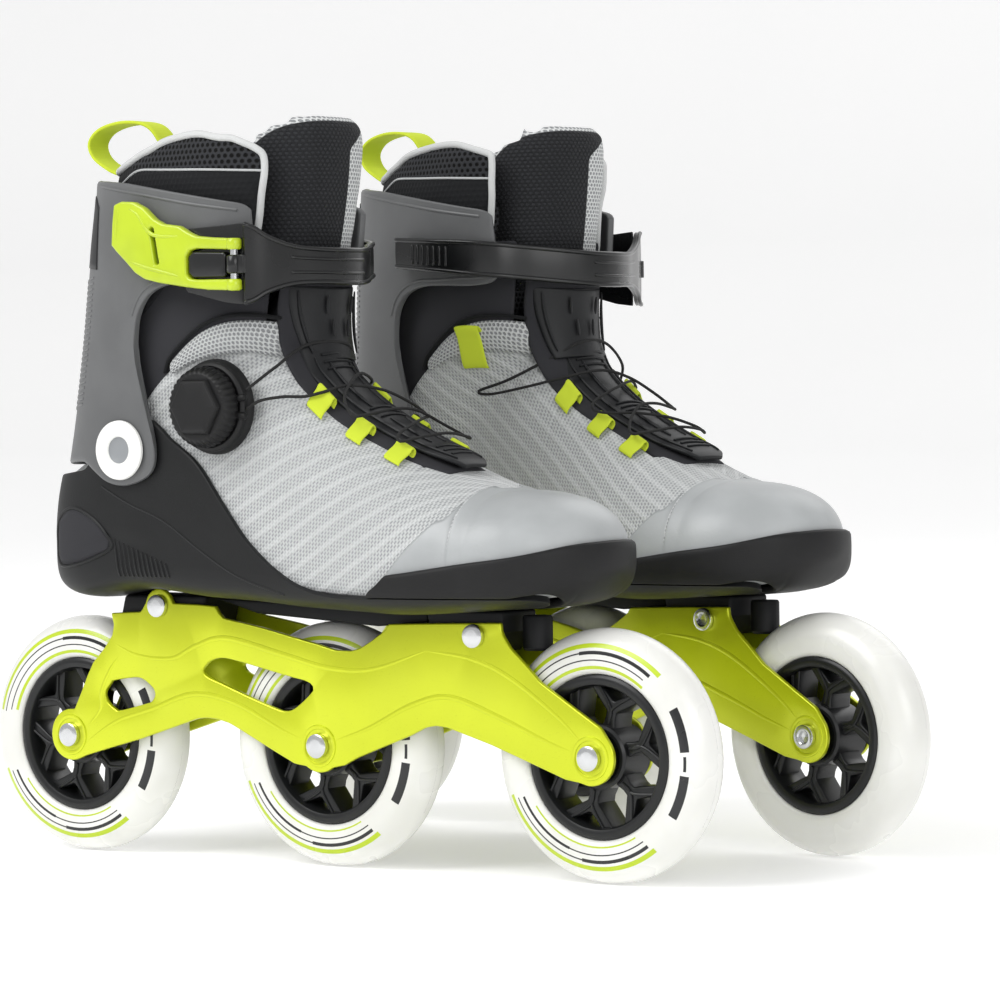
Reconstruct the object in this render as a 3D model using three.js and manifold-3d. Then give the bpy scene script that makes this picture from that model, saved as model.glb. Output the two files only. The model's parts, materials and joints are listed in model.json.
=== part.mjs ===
// A pair of three-wheeled inline skates: soft knitted boots on moulded shells, hinged cuffs, a lace dial,
// an ankle strap with a lever buckle, and aluminium frames. Millimetres, +Z up, toes towards +X.
// Each skate is built about the ground point under its middle wheel. +Y is the wearer's left, so on the right
// skate the dial and the lever are on the -Y side. The left skate is the right one mirrored.
import * as THREE from "three";
import { mergeVertices } from "three/addons/utils/BufferGeometryUtils.js";
import Module from "manifold-3d";

const wasm = await Module();
wasm.setup();

// ---- driving dimensions -------------------------------------------------------------------------------------
const WHEEL_DIAMETER = 110;
const WHEEL_WIDTH = 24;
const WHEEL_GAP = 35.6; // between the treads of neighbouring wheels
const HUB_DIAMETER = 71;
const HUB_WIDTH = 21;
const HUB_RIM = 5; // radial thickness of the hub's rim
const HUB_CORE_DIAMETER = 28;
const SPOKE_COUNT = 6;
const SPINDLE_DIAMETER = 12; // bearing inner rings and spacer, clamped on the axle
const AXLE_DIAMETER = 8;
const AXLE_HEAD_DIAMETER = 11;
const AXLE_HEAD_HEIGHT = 2.4;
const PLATE_THICKNESS = 2.6;
const WHEEL_SIDE_GAP = 1.6; // from the wheel's side to the frame plate
const BOSS_RADIUS = 12;
const BOOT_CLEARANCE = 4.6; // from the middle wheel's tread up to the boot's underside
const BOLT_DIAMETER = 6;
const BOLT_HEAD_DIAMETER = 10.5;
const BOLT_HEAD_HEIGHT = 2.2;
const BOLT_TAB_RADIUS = 8;
const REAR_BOLT = { x: -91.2, z: 1.4 }; // z counts from the boot's underside
const FRONT_BOLT = { x: 86.1, z: -8.6 };
const SHELL_THICKNESS = 3;
const SOLE_THICKNESS = 5.5;
const UPPER_THICKNESS = 4.2;
const INSOLE_THICKNESS = 4;
const INSOLE_LIFT = 1.8; // the floor curves up under the footbed's edges
const CUFF_THICKNESS = 3.2;
const CUFF_GAP = 0.9; // between the shell and the cuff that swings around it
const COLLAR_THICKNESS = 7.5;
const PIVOT = { x: -87, z: 73.4 };
const PIVOT_DIAMETER = 16;
const PIVOT_HEAD_DIAMETER = 27;
const PIVOT_HEAD_HEIGHT = 2;
const DIAL = { x: -38, z: 92.4 };
const DIAL_BASE_DIAMETER = 40;
const DIAL_BASE_DEPTH = 5;
const KNOB_DIAMETER = 33;
const KNOB_DEPTH = 9;
const SPOOL_DIAMETER = 18;
const LEVER_THICKNESS = 4.5;
const LEVER_PIN = { x: -16, y: -50.5 };
const LEVER_PIN_DIAMETER = 3.6;
const STRAP_THICKNESS = 2.6;
const LACE_DIAMETER = 1.4;
const LOOP_WIDTH = 14;
const LOOP_THICKNESS = 1.6;
const LEFT_SKATE = { x: 32.2, y: 155.7, turn: -9.1 }; // the left skate's place beside the right one, degrees
const GAP = 0.3; // kept between fixed pieces that touch
const PIN_GAP = 0.12; // kept round a pin that turns
const WHEEL_SIDES = 24;
const ROUND_SIDES = 16;
const HOLE_SIDES = 10;

const WHEEL_RADIUS = WHEEL_DIAMETER / 2;
const AXLE_PITCH = WHEEL_DIAMETER + WHEEL_GAP;
const PLATE_INNER = WHEEL_WIDTH / 2 + WHEEL_SIDE_GAP;
const PLATE_OUTER = PLATE_INNER + PLATE_THICKNESS;
const SOLE = WHEEL_DIAMETER + BOOT_CLEARANCE; // height of the boot's underside over the middle wheel
const WHEELS = { rear: -AXLE_PITCH, middle: 0, front: AXLE_PITCH };

// ---- materials ----------------------------------------------------------------------------------------------
const finish = (color, roughness, metalness = 0) =>
  new THREE.MeshStandardMaterial({ color, roughness, metalness });
const LIME_METAL = finish(0xc3d600, 0.35, 0.7);
const LIME_PLASTIC = finish(0xc0d62a, 0.45);
const BLACK_PLASTIC = finish(0x1d1e20, 0.5);
const BLACK_RUBBER = finish(0x17181a, 0.75);
const BLACK_FABRIC = finish(0x141517, 0.9);
const GREY_PLASTIC = finish(0x6d7073, 0.45);
const KNIT = finish(0xb9bcbc, 0.9);
const URETHANE = finish(0xf2f2ee, 0.35);
const STEEL = finish(0xc9cbcd, 0.25, 1);
const WHITE_PLASTIC = finish(0xf0f0f0, 0.4);

// ---- solids -------------------------------------------------------------------------------------------------
/** A closed geometry as a solid that can be joined and cut. */
function solid(geometry) {
  const bare = geometry.index ? geometry.toNonIndexed() : geometry;
  const points = new THREE.BufferGeometry();
  points.setAttribute("position", bare.getAttribute("position"));
  const merged = mergeVertices(points, 1e-3);
  return new wasm.Manifold(
    new wasm.Mesh({
      numProp: 3,
      vertProperties: merged.attributes.position.array,
      triVerts: new Uint32Array(merged.index.array),
    }),
  );
}

/** A solid as a geometry that a mesh can show. */
function geometryOf(made) {
  const mesh = made.getMesh();
  const geometry = new THREE.BufferGeometry();
  geometry.setAttribute("position", new THREE.BufferAttribute(mesh.vertProperties, 3));
  geometry.setIndex(new THREE.BufferAttribute(mesh.triVerts, 1));
  return geometry;
}

const joined = (solids) => solids.reduce((all, one) => all.add(one));

/** A side view outline [[x, z], ...], with holes, as a plate from y = low to y = high. */
function plate(outline, low, high, holes = []) {
  const shape = new THREE.Shape(outline.map(([x, z]) => new THREE.Vector2(x, z)));
  for (const hole of holes) {
    shape.holes.push(new THREE.Path(hole.map(([x, z]) => new THREE.Vector2(x, z))));
  }
  const geometry = new THREE.ExtrudeGeometry(shape, { depth: high - low, bevelEnabled: false });
  return solid(geometry.rotateX(Math.PI / 2).translate(0, high, 0));
}

/** A block between two corners. */
function block([x0, y0, z0], [x1, y1, z1]) {
  const geometry = new THREE.BoxGeometry(x1 - x0, y1 - y0, z1 - z0);
  return solid(geometry.translate((x0 + x1) / 2, (y0 + y1) / 2, (z0 + z1) / 2));
}

/** A round bar along Y through (x, z). */
function barY(radius, low, high, x = 0, z = 0, sides = ROUND_SIDES) {
  const geometry = new THREE.CylinderGeometry(radius, radius, high - low, sides);
  return solid(geometry.translate(x, (low + high) / 2, z));
}

/** A turned piece about a Y axis through (x, z), from its closed profile of [radius, y] points. */
function turned(profile, sides = ROUND_SIDES, x = 0, z = 0) {
  const points = [...profile, profile[0]].map(([radius, y]) => new THREE.Vector2(radius, y));
  const made = solid(new THREE.LatheGeometry(points, sides));
  const outward = made.volume() < 0 ? turned([...profile].reverse(), sides) : made;
  return x === 0 && z === 0 ? outward : outward.translate([x, 0, z]);
}

/** Triangles that fill a ring of points, facing along the ring's own normal. */
function cap(ring) {
  const normal = new THREE.Vector3();
  ring.forEach((point, k) => normal.add(point.clone().cross(ring[(k + 1) % ring.length])));
  normal.normalize();
  const across = new THREE.Vector3(normal.y, normal.z, normal.x).cross(normal).normalize();
  const upward = normal.clone().cross(across);
  const flat = ring.map((point) => new THREE.Vector2(point.dot(across), point.dot(upward)));
  return THREE.ShapeUtils.triangulateShape(flat, []).map(([a, b, c]) =>
    THREE.ShapeUtils.area([flat[a], flat[b], flat[c]]) < 0 ? [a, c, b] : [a, b, c],
  );
}

/** A closed body through rings of points, each ring with as many points as the next. */
function loft(rings) {
  const count = rings[0].length;
  const positions = rings.flat().flatMap((p) => [p.x, p.y, p.z]);
  const index = [];
  for (let i = 0; i + 1 < rings.length; i += 1) {
    for (let k = 0; k < count; k += 1) {
      const a = i * count + k;
      const b = i * count + ((k + 1) % count);
      index.push(a, b, a + count, b, b + count, a + count);
    }
  }
  const end = (rings.length - 1) * count;
  for (const [a, b, c] of cap(rings[0])) index.push(a, c, b);
  for (const [a, b, c] of cap(rings.at(-1))) index.push(end + a, end + b, end + c);
  const geometry = new THREE.BufferGeometry();
  geometry.setAttribute("position", new THREE.Float32BufferAttribute(positions, 3));
  geometry.setIndex(index);
  const made = solid(geometry);
  return made.volume() < 0 ? loft([...rings].reverse()) : made;
}

/** A round cord or bar of a few sides along a smooth curve through points. */
function cord(points, radius, sides, steps) {
  const curve = new THREE.CatmullRomCurve3(points.map((p) => new THREE.Vector3(...p)), false, "centripetal");
  const section = new THREE.Shape();
  for (let k = 0; k < sides; k += 1) {
    const angle = (2 * Math.PI * k) / sides;
    const [x, y] = [radius * Math.cos(angle), radius * Math.sin(angle)];
    if (k === 0) section.moveTo(x, y);
    else section.lineTo(x, y);
  }
  section.closePath();
  return new THREE.ExtrudeGeometry(section, { steps, extrudePath: curve, bevelEnabled: false });
}

/** Points on a circle in the side view, from one angle to another in degrees. */
function arc([x, z], radius, from, to, steps) {
  return Array.from({ length: steps + 1 }, (_, i) => {
    const angle = THREE.MathUtils.degToRad(from + ((to - from) * i) / steps);
    return [x + radius * Math.cos(angle), z + radius * Math.sin(angle)];
  });
}

const circle = (centre, radius, sides = ROUND_SIDES) => arc(centre, radius, 0, 360, sides).slice(1);

/** A smooth function of x through [x, value] pairs. */
function smooth(table) {
  return (x) => {
    const last = table.length - 1;
    if (x <= table[0][0]) return table[0][1];
    if (x >= table[last][0]) return table[last][1];
    const i = table.findIndex(([at]) => at > x) - 1;
    const slope = (k) => {
      const [a, b] = [Math.max(k - 1, 0), Math.min(k + 1, last)];
      return (table[b][1] - table[a][1]) / (table[b][0] - table[a][0]);
    };
    const [x0, v0] = table[i];
    const [x1, v1] = table[i + 1];
    const width = x1 - x0;
    const t = (x - x0) / width;
    return (
      v0 * (1 + 2 * t) * (1 - t) ** 2 +
      v1 * t * t * (3 - 2 * t) +
      slope(i) * width * t * (1 - t) ** 2 +
      slope(i + 1) * width * t * t * (t - 1)
    );
  };
}

// ---- the boot's form: a foot along X and a leg along Z, grown or shrunk by an offset ---------------------------
// Heights count from SOLE. Half widths, heights and the medial drift of the toes are along the foot.
const underside = smooth([
  [-149, 9], [-141, 3.5], [-122, 2.4], [-106, 5], [-91, 7], [-74, 6], [-51, 3.6], [-23, 2.2], [5, 0],
  [33, -1.2], [60, -2], [103, 0.6], [134, 3], [146, 9],
]);
const footHalfWidth = smooth([
  [-149, 8], [-146.5, 17], [-140, 26.5], [-127, 33.5], [-110, 37], [-85, 38], [-50, 38.5], [-15, 40],
  [20, 43], [50, 46.5], [75, 47.5], [100, 44.5], [120, 37], [133, 29], [141, 19.5], [145.5, 8],
]);
const footTop = smooth([
  [-149, 36], [-140, 62], [-127, 74], [-110, 88], [-75, 118], [-38, 129], [-15, 123], [5, 104], [20, 91],
  [50, 74], [75, 62], [100, 53.5], [120, 48.5], [133, 44.5], [141, 39], [145.5, 29],
]);
const toeDrift = smooth([[-20, 0], [60, 2], [120, 4]]);
const FOOT_STATIONS = [-149, -146, -137, -120, -80, -38, 0, 30, 62, 95, 118, 133, 141, 145.5];
const FOOT_SIDES = 16;
const WIDEST = 21; // height above the underside where the foot is widest

/** One section of the foot across X: boxy under its widest line, rounded over it. */
function footRing(x, offset, drop) {
  const width = footHalfWidth(x) + offset;
  const low = SOLE + underside(x) + SOLE_THICKNESS - drop;
  const middle = SOLE + underside(x) + WIDEST;
  const top = SOLE + footTop(x) + offset;
  const end = x < 0 ? -145 : 141.5;
  const reach = Math.abs(x) > Math.abs(end) ? offset : 0;
  return Array.from({ length: FOOT_SIDES }, (_, k) => {
    const angle = (2 * Math.PI * k) / FOOT_SIDES;
    const [c, s] = [Math.cos(angle), Math.sin(angle)];
    const power = s < 0 ? 2 / 4 : 2 / 2.4;
    const y = toeDrift(x) + width * Math.sign(c) * Math.abs(c) ** power;
    const height = s < 0 ? middle - low : Math.max(top - middle, 4);
    return new THREE.Vector3(
      x + Math.sign(x) * reach,
      y,
      middle + height * Math.sign(s) * Math.abs(s) ** power,
    );
  });
}

const legMiddle = smooth([[20, -98], [75, -80], [120, -67.5], [165, -61], [196, -56.5], [225, -55]]);
const legHalfLength = smooth([[20, 48], [75, 54], [120, 59.5], [165, 61], [196, 61.5], [225, 62]]);
const legHalfWidth = smooth([[20, 37], [75, 39.5], [120, 41.5], [165, 43], [196, 44], [225, 44.5]]);
const legLean = smooth([[40, 0], [190, 5]]); // the leg leans to the medial side
const LEG_STATIONS = [20, 75, 120, 145, 196, 225];
const LEG_SIDES = 16;

/** One level section of the leg at a height over SOLE. */
function legRing(height, offset) {
  const length = legHalfLength(height) + offset;
  const width = legHalfWidth(height) + offset;
  return Array.from({ length: LEG_SIDES }, (_, k) => {
    const angle = (2 * Math.PI * (k + 0.5)) / LEG_SIDES;
    const [c, s] = [Math.cos(angle), Math.sin(angle)];
    const power = 2 / 2.3;
    return new THREE.Vector3(
      legMiddle(height) + length * Math.sign(c) * Math.abs(c) ** power,
      legLean(height) + width * Math.sign(s) * Math.abs(s) ** power,
      SOLE + height,
    );
  });
}

const foot = (offset, drop = offset) => loft(FOOT_STATIONS.map((x) => footRing(x, offset, drop)));
const leg = (offset, from = 20, to = 225) =>
  loft(LEG_STATIONS.filter((z) => z >= from && z <= to).map((z) => legRing(z, offset)));

/** The lateral surface's y of the leg grown by an offset, at a place in the side view. */
function lateral(x, height, offset) {
  const along = Math.min(Math.abs(x - legMiddle(height)) / (legHalfLength(height) + offset), 1);
  return legLean(height) - (legHalfWidth(height) + offset) * (1 - along ** 2.3) ** (1 / 2.3);
}

// Side view outlines of the boot's pieces, with z over SOLE.
const raised = (outline) => outline.map(([x, z]) => [x, z + SOLE]);
const WIDE = 90; // half width of a cutter that passes right through the boot

// ---- wheels -------------------------------------------------------------------------------------------------
function tyre() {
  const shoulder = WHEEL_RADIUS - 13;
  const seat = HUB_DIAMETER / 2 + GAP;
  const tread = Array.from({ length: 5 }, (_, i) => {
    const angle = THREE.MathUtils.degToRad(-74 + 37 * i);
    const radius = shoulder + (WHEEL_RADIUS - shoulder) * Math.cos(angle);
    return [radius, (WHEEL_WIDTH / 2) * Math.sin(angle)];
  });
  const side = HUB_WIDTH / 2;
  return turned([[seat, -side], ...tread, [seat, side]], WHEEL_SIDES);
}

/** One Y-shaped spoke, pointing along +X, with its foot in the core and its arms in the rim. */
function spoke() {
  const root = HUB_CORE_DIAMETER / 2 - 2;
  const tip = HUB_DIAMETER / 2 - HUB_RIM / 2;
  const fork = (root + tip) / 2;
  const half = 2.6;
  const spread = THREE.MathUtils.degToRad(19);
  const arm = (side, turn) => [tip * Math.cos(side * (spread + turn)), tip * Math.sin(side * (spread + turn))];
  const outline = [
    [root, -half], [fork - 2, -half], arm(-1, 0.08), arm(-1, -0.1), [fork + 4, 0], arm(1, -0.1),
    arm(1, 0.08), [fork - 2, half], [root, half],
  ];
  return plate(outline, -HUB_WIDTH / 2 + 3, HUB_WIDTH / 2 - 3);
}

function hub() {
  const outer = HUB_DIAMETER / 2;
  const inner = outer - HUB_RIM;
  const bore = (SPINDLE_DIAMETER / 2 + PIN_GAP) / Math.cos(Math.PI / ROUND_SIDES);
  const [half, core] = [HUB_WIDTH / 2, HUB_CORE_DIAMETER / 2];
  const rim = turned([[inner, -half], [outer, -half], [outer, half], [inner, half]], WHEEL_SIDES);
  const barrel = turned([[bore, -half], [core, -half], [core, half], [bore, half]]);
  const spokes = Array.from({ length: SPOKE_COUNT }, (_, i) =>
    spoke().rotate([0, (360 / SPOKE_COUNT) * (i + 0.25), 0]),
  );
  return joined([rim, barrel, ...spokes]);
}

/** The axle with its two heads and the sleeve of bearing rings and spacer clamped between the plates. */
function axle() {
  const [shaft, head, sleeve] = [AXLE_DIAMETER / 2, AXLE_HEAD_DIAMETER / 2, SPINDLE_DIAMETER / 2];
  const face = PLATE_OUTER + GAP;
  const end = face + AXLE_HEAD_HEIGHT;
  const stop = PLATE_INNER - GAP;
  return turned([
    [0, -end], [head, -end], [head, -face], [shaft, -face], [shaft, -stop], [sleeve, -stop],
    [sleeve, stop], [shaft, stop], [shaft, face], [head, face], [head, end], [0, end],
  ], HOLE_SIDES);
}

// ---- frame --------------------------------------------------------------------------------------------------
const fromAxle = (wheel) => (dx, dz) => [WHEELS[wheel] + dx, WHEEL_RADIUS + dz];
const atRear = fromAxle("rear");
const atMiddle = fromAxle("middle");
const atFront = fromAxle("front");
const underBoot = (x, dz) => [x, SOLE + dz];

/** Outline of one side plate, anticlockwise from the rear of its top edge. */
function plateOutline() {
  return [
    underBoot(-120, -2.4), underBoot(-118.3, -8), underBoot(-119.7, -12.6), atRear(21, 40.8),
    atRear(14, 34), atRear(7, 21), ...arc(atRear(0, 0), BOSS_RADIUS, 80, 290, 6), atRear(20.4, -6.3),
    atRear(41.7, -0.7), atRear(69.8, 8), atRear(82, 10.2), atMiddle(-57.6, 9.9), atMiddle(-44.9, 5.6),
    atMiddle(-26, -3.2), ...arc(atMiddle(0, 0), BOSS_RADIUS, 235, 305, 3), atMiddle(21.1, -4.6),
    atMiddle(50.5, 6.3), atFront(-87, 10.1), atFront(-75, 10.5), atFront(-52, 3.9), atFront(-26, -5.1),
    ...arc(atFront(0, 0), BOSS_RADIUS, 250, 400, 5), atFront(5.2, 13.3), atFront(-7.4, 20.9),
    atFront(-25.4, 32), atFront(-32, 38.3), atFront(-40.8, 46.2), underBoot(100.2, -6.5),
    underBoot(99.8, -2.6), underBoot(67.8, -3.4), underBoot(39.4, -4.3), underBoot(37.7, -7),
    underBoot(30.5, -11.6), underBoot(23.8, -15.3), underBoot(14, -16.6), underBoot(1.5, -14.4),
    underBoot(-32.4, -7.1), underBoot(-53.7, -3.5), underBoot(-58, 1.6), underBoot(-67, 2),
  ];
}

/** The short window behind the rear wheel's middle and the long one over the middle wheel. */
function plateWindows() {
  return [
    [
      atRear(25.4, 25.7), atRear(33.3, 27), atRear(42.3, 27.5), atRear(49.4, 23.6), atRear(51, 20.5),
      atRear(46.8, 16.1), atRear(30, 12.2), atRear(22.2, 16.3), atRear(21, 19.5),
    ],
    [
      atMiddle(-66, 32.4), atMiddle(-61.7, 36.4), atMiddle(-54.7, 37.9), atMiddle(-32.8, 34),
      atMiddle(-7.3, 28.8), atMiddle(-3, 25), atMiddle(-12.7, 16.6), atMiddle(-24.6, 16.2),
      atMiddle(-53.2, 25.7),
    ],
  ];
}

function frame() {
  const plates = [-PLATE_OUTER, PLATE_INNER].map((y) => {
    const side = plate(plateOutline(), y, y + PLATE_THICKNESS, plateWindows());
    const tab = barY(BOLT_TAB_RADIUS, y, y + PLATE_THICKNESS, REAR_BOLT.x, SOLE + REAR_BOLT.z);
    return side.add(tab);
  });
  const webs = [
    block([-97, -PLATE_INNER - 1, SOLE - 21], [-62, PLATE_INNER + 1, SOLE - 16]),
    block([54, -PLATE_INNER - 1, SOLE - 27], [90, PLATE_INNER + 1, SOLE - 22.5]),
  ];
  const axleHoles = Object.values(WHEELS).map((x) =>
    barY(AXLE_DIAMETER / 2 + GAP, -PLATE_OUTER - 1, PLATE_OUTER + 1, x, WHEEL_RADIUS, HOLE_SIDES),
  );
  const boltHoles = [REAR_BOLT, FRONT_BOLT].map((bolt) => boltHole(bolt));
  return joined([...plates, ...webs]).subtract(joined([...axleHoles, ...boltHoles]));
}

const boltHole = (bolt) =>
  barY(BOLT_DIAMETER / 2 + GAP, -PLATE_OUTER - 1, PLATE_OUTER + 1, bolt.x, SOLE + bolt.z, HOLE_SIDES);

/** A bolt right across the frame and the boot's mounting block. */
function frameBolt(bolt) {
  const [shank, head] = [BOLT_DIAMETER / 2, BOLT_HEAD_DIAMETER / 2];
  const face = PLATE_OUTER + GAP;
  const end = face + BOLT_HEAD_HEIGHT;
  const profile = [
    [0, -end], [head, -end], [head, -face], [shank, -face], [shank, face], [head, face], [head, end], [0, end],
  ];
  return turned(profile, HOLE_SIDES, bolt.x, SOLE + bolt.z);
}

// ---- boot ---------------------------------------------------------------------------------------------------
const RAND_START = 50; // where the toe rand takes over from the shell's side wall
const RAND_FOOT = 8.5; // top of the sole edge under the rand
const SHELL_EDGE = [
  [-160, -20], [160, -20], [160, RAND_FOOT], [RAND_START + 8, RAND_FOOT], [48, 7], [30, 8.5], [14, 11.8],
  [-2.5, 20.3], [-19, 33.4], [-32, 48.5], [-47, 66.6], [-63, 79], [-69, 87], [-106, 87], [-113, 66], [-160, 62],
];

function shell() {
  const outer = joined([foot(SHELL_THICKNESS + GAP, SOLE_THICKNESS), leg(SHELL_THICKNESS + GAP, 20, 120)]);
  const inner = joined([foot(GAP, GAP), leg(GAP, 20, 225)]);
  const side = plate(raised(SHELL_EDGE), -WIDE, WIDE);
  const blockWidth = PLATE_INNER - GAP;
  const blocks = [
    plate(raised([[-117, -6], [-108, -9], [-68, -8], [-66, 8], [-114, 8]]), -blockWidth, blockWidth),
    plate(raised([[62, -14], [93, -16], [99, -6], [99, 4], [58, 3]]), -blockWidth, blockWidth),
  ];
  const tabRoom = barY(
    BOLT_TAB_RADIUS + GAP, -PLATE_OUTER - 9, PLATE_OUTER + 9, REAR_BOLT.x, SOLE + REAR_BOLT.z,
  );
  const middle = block([-140, -blockWidth, SOLE - 30], [140, blockWidth, SOLE + 30]);
  const pivotHole = barY(PIVOT_DIAMETER / 2 + GAP, -WIDE, WIDE, PIVOT.x, SOLE + PIVOT.z);
  return joined([outer, ...blocks])
    .intersect(side)
    .subtract(inner)
    .subtract(joined([tabRoom.subtract(middle), pivotHole]))
    .subtract(joined([REAR_BOLT, FRONT_BOLT].map((bolt) => boltHole(bolt))));
}

function toeRand() {
  const outer = foot(SHELL_THICKNESS + GAP, SOLE_THICKNESS);
  const low = RAND_FOOT + GAP;
  const side = raised([
    [RAND_START + 9, low], [170, low], [170, 35], [150, 33.5], [124, 27.5], [98, 24], [72, 20.3], [RAND_START, 17.5],
    [RAND_START - 2, 12],
  ]);
  return outer.subtract(foot(GAP, GAP)).intersect(plate(side, -WIDE, WIDE));
}

const UPPER_EDGE = [
  [-170, -10], [170, -10], [170, 80], [8, 104], [-2, 121], [-25, 127], [-48, 121], [-73, 101], [-84, 91],
  [-84, 78], [-112, 73], [-170, 58],
];
const THROAT_HALF_WIDTH = 19;

function upper() {
  const outer = joined([foot(0), leg(0, 20, 145)]);
  const inner = joined([foot(-UPPER_THICKNESS), leg(-UPPER_THICKNESS, 20, 225)]);
  const throat = [[62, 60], [62, 140], [-60, 140], [-60, 100], [-5, 90]];
  const opening = plate(raised(throat), -THROAT_HALF_WIDTH, THROAT_HALF_WIDTH);
  const pivotRoom = barY(PIVOT_DIAMETER / 2 + 2, -WIDE, WIDE, PIVOT.x, SOLE + PIVOT.z);
  return outer
    .subtract(inner)
    .intersect(plate(raised(UPPER_EDGE), -WIDE, WIDE))
    .subtract(joined([opening, pivotRoom]));
}

/** The footbed, which follows the floor of the upper. */
function insole() {
  const stations = [-136, -120, -91, -50, -15, 12, 40, 70, 98, 118, 128];
  return loft(stations.map((x) => {
    const half = (footHalfWidth(x) - UPPER_THICKNESS) * 0.7 - 1;
    const low = SOLE + underside(x) + SOLE_THICKNESS + UPPER_THICKNESS + INSOLE_LIFT;
    const high = low + INSOLE_THICKNESS;
    const corners = [[-half, low], [half, low], [half + 1, high], [-half - 1, high]];
    return corners.map(([y, z]) => new THREE.Vector3(x, toeDrift(x) + y, z));
  }));
}

/** A bowed strip along a side view path: stations are [x, z, half width, bow], z over SOLE. */
function bowedStrip(stations, thickness, drift) {
  const across = [-1, -0.6, 0, 0.6, 1];
  const path = stations.map(([x, z]) => new THREE.Vector2(x, z + SOLE));
  return loft(stations.map(([x, z, half, bow], i) => {
    const before = path[Math.max(i - 1, 0)];
    const after = path[Math.min(i + 1, path.length - 1)];
    const along = after.clone().sub(before).normalize();
    const point = (t, depth) => {
      const sink = depth + bow * t * t;
      return new THREE.Vector3(x - along.y * sink, drift(z) + half * t, z + SOLE + along.x * sink);
    };
    return [...across.map((t) => point(t, 0)), ...[...across].reverse().map((t) => point(t, thickness))];
  }));
}

const tongueGuard = () =>
  bowedStrip([
    [75, 68, 12, 1], [58, 75, 15, 3], [34, 87, 16, 4], [15, 99.5, 17, 5], [4, 111, 17.5, 6], [0, 121, 18, 7],
  ], 2.4, () => 0);

const TONGUE_STATIONS = [
  [4, 150, 24, 14], [7.5, 168, 25, 14], [11.5, 186, 26, 14], [10.5, 203, 26, 13], [1, 218, 25, 11],
];
const TONGUE_THICKNESS = 9;
const tongue = () => bowedStrip(TONGUE_STATIONS, TONGUE_THICKNESS, legLean);

// ---- cuff and collar ----------------------------------------------------------------------------------------
const CUFF_INNER = SHELL_THICKNESS + GAP + CUFF_GAP;
const STRAP_SLOT = { x: -63, low: 153, high: 173 }; // through the cuff's medial wall, z over SOLE
const CUFF_EDGE = [
  [-69, 79.4], [-73.8, 93.4], [-77.5, 111.4], [-78.5, 120.4], [-77, 132], [-73, 139.4], [-67, 144.4],
  [-57, 147.4], [-30, 147], [-16, 150], [-14, 176], [-17, 182], [-41.6, 186.4], [-85, 194], [-122, 197],
  [-140, 190], [-165, 60], [-113, 68], [-104, 62], [-88, 57], [-73, 61], [-68, 70],
];

function cuff() {
  const outer = leg(CUFF_INNER + CUFF_THICKNESS, 20, 225);
  const wall = outer.subtract(leg(CUFF_INNER, 20, 225));
  const pivotHole = barY(PIVOT_DIAMETER / 2 + PIN_GAP + 0.1, -WIDE, WIDE, PIVOT.x, SOLE + PIVOT.z);
  const { x, low, high } = STRAP_SLOT;
  const slot = plate(raised([[x - 3, low], [x + 3, low], [x + 3, high], [x - 3, high]]), 0, WIDE);
  return wall.intersect(plate(raised(CUFF_EDGE), -WIDE, WIDE)).subtract(joined([pivotHole, slot]));
}

const COLLAR_EDGE = [
  [-150, 84], [-84, 97], [-68, 126], [-48, 151], [-8, 151], [-4, 190], [-12, 204], [-35, 215.5], [-60, 217],
  [-82, 210], [-95, 202], [-150, 204],
];

function collar() {
  const wall = leg(-GAP, 20, 225).subtract(leg(-COLLAR_THICKNESS, 20, 225));
  const front = plate(raised([[-24, 100], [60, 100], [60, 240], [-24, 240]]), -30, 36);
  return wall.intersect(plate(raised(COLLAR_EDGE), -WIDE, WIDE)).subtract(front);
}

/** A cuff pivot: a round shaft through the cuff into the shell, with a broad ring head outside. */
function cuffPivot(side) {
  const [shaft, head] = [PIVOT_DIAMETER / 2, PIVOT_HEAD_DIAMETER / 2];
  const top = PIVOT.z + head;
  const face = Math.abs(legLean(top) + side * (legHalfWidth(top) + CUFF_INNER + CUFF_THICKNESS)) + GAP;
  const end = face + PIVOT_HEAD_HEIGHT;
  const start = face - CUFF_THICKNESS - CUFF_GAP - SHELL_THICKNESS;
  const profile = [
    [0, start], [shaft, start], [shaft, face], [head, face], [head, end], [5.8, end], [5.8, end - 0.8],
    [0, end - 0.8],
  ];
  return turned(profile.map(([radius, y]) => [radius, side * y]), ROUND_SIDES, PIVOT.x, SOLE + PIVOT.z);
}

// ---- strap and buckle ---------------------------------------------------------------------------------------
const PRONG_HEIGHTS = { low: [143.6, 150.6], high: [159.6, 166.6] }; // over SOLE
const KNUCKLE_RADIUS = 3.4;

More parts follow.
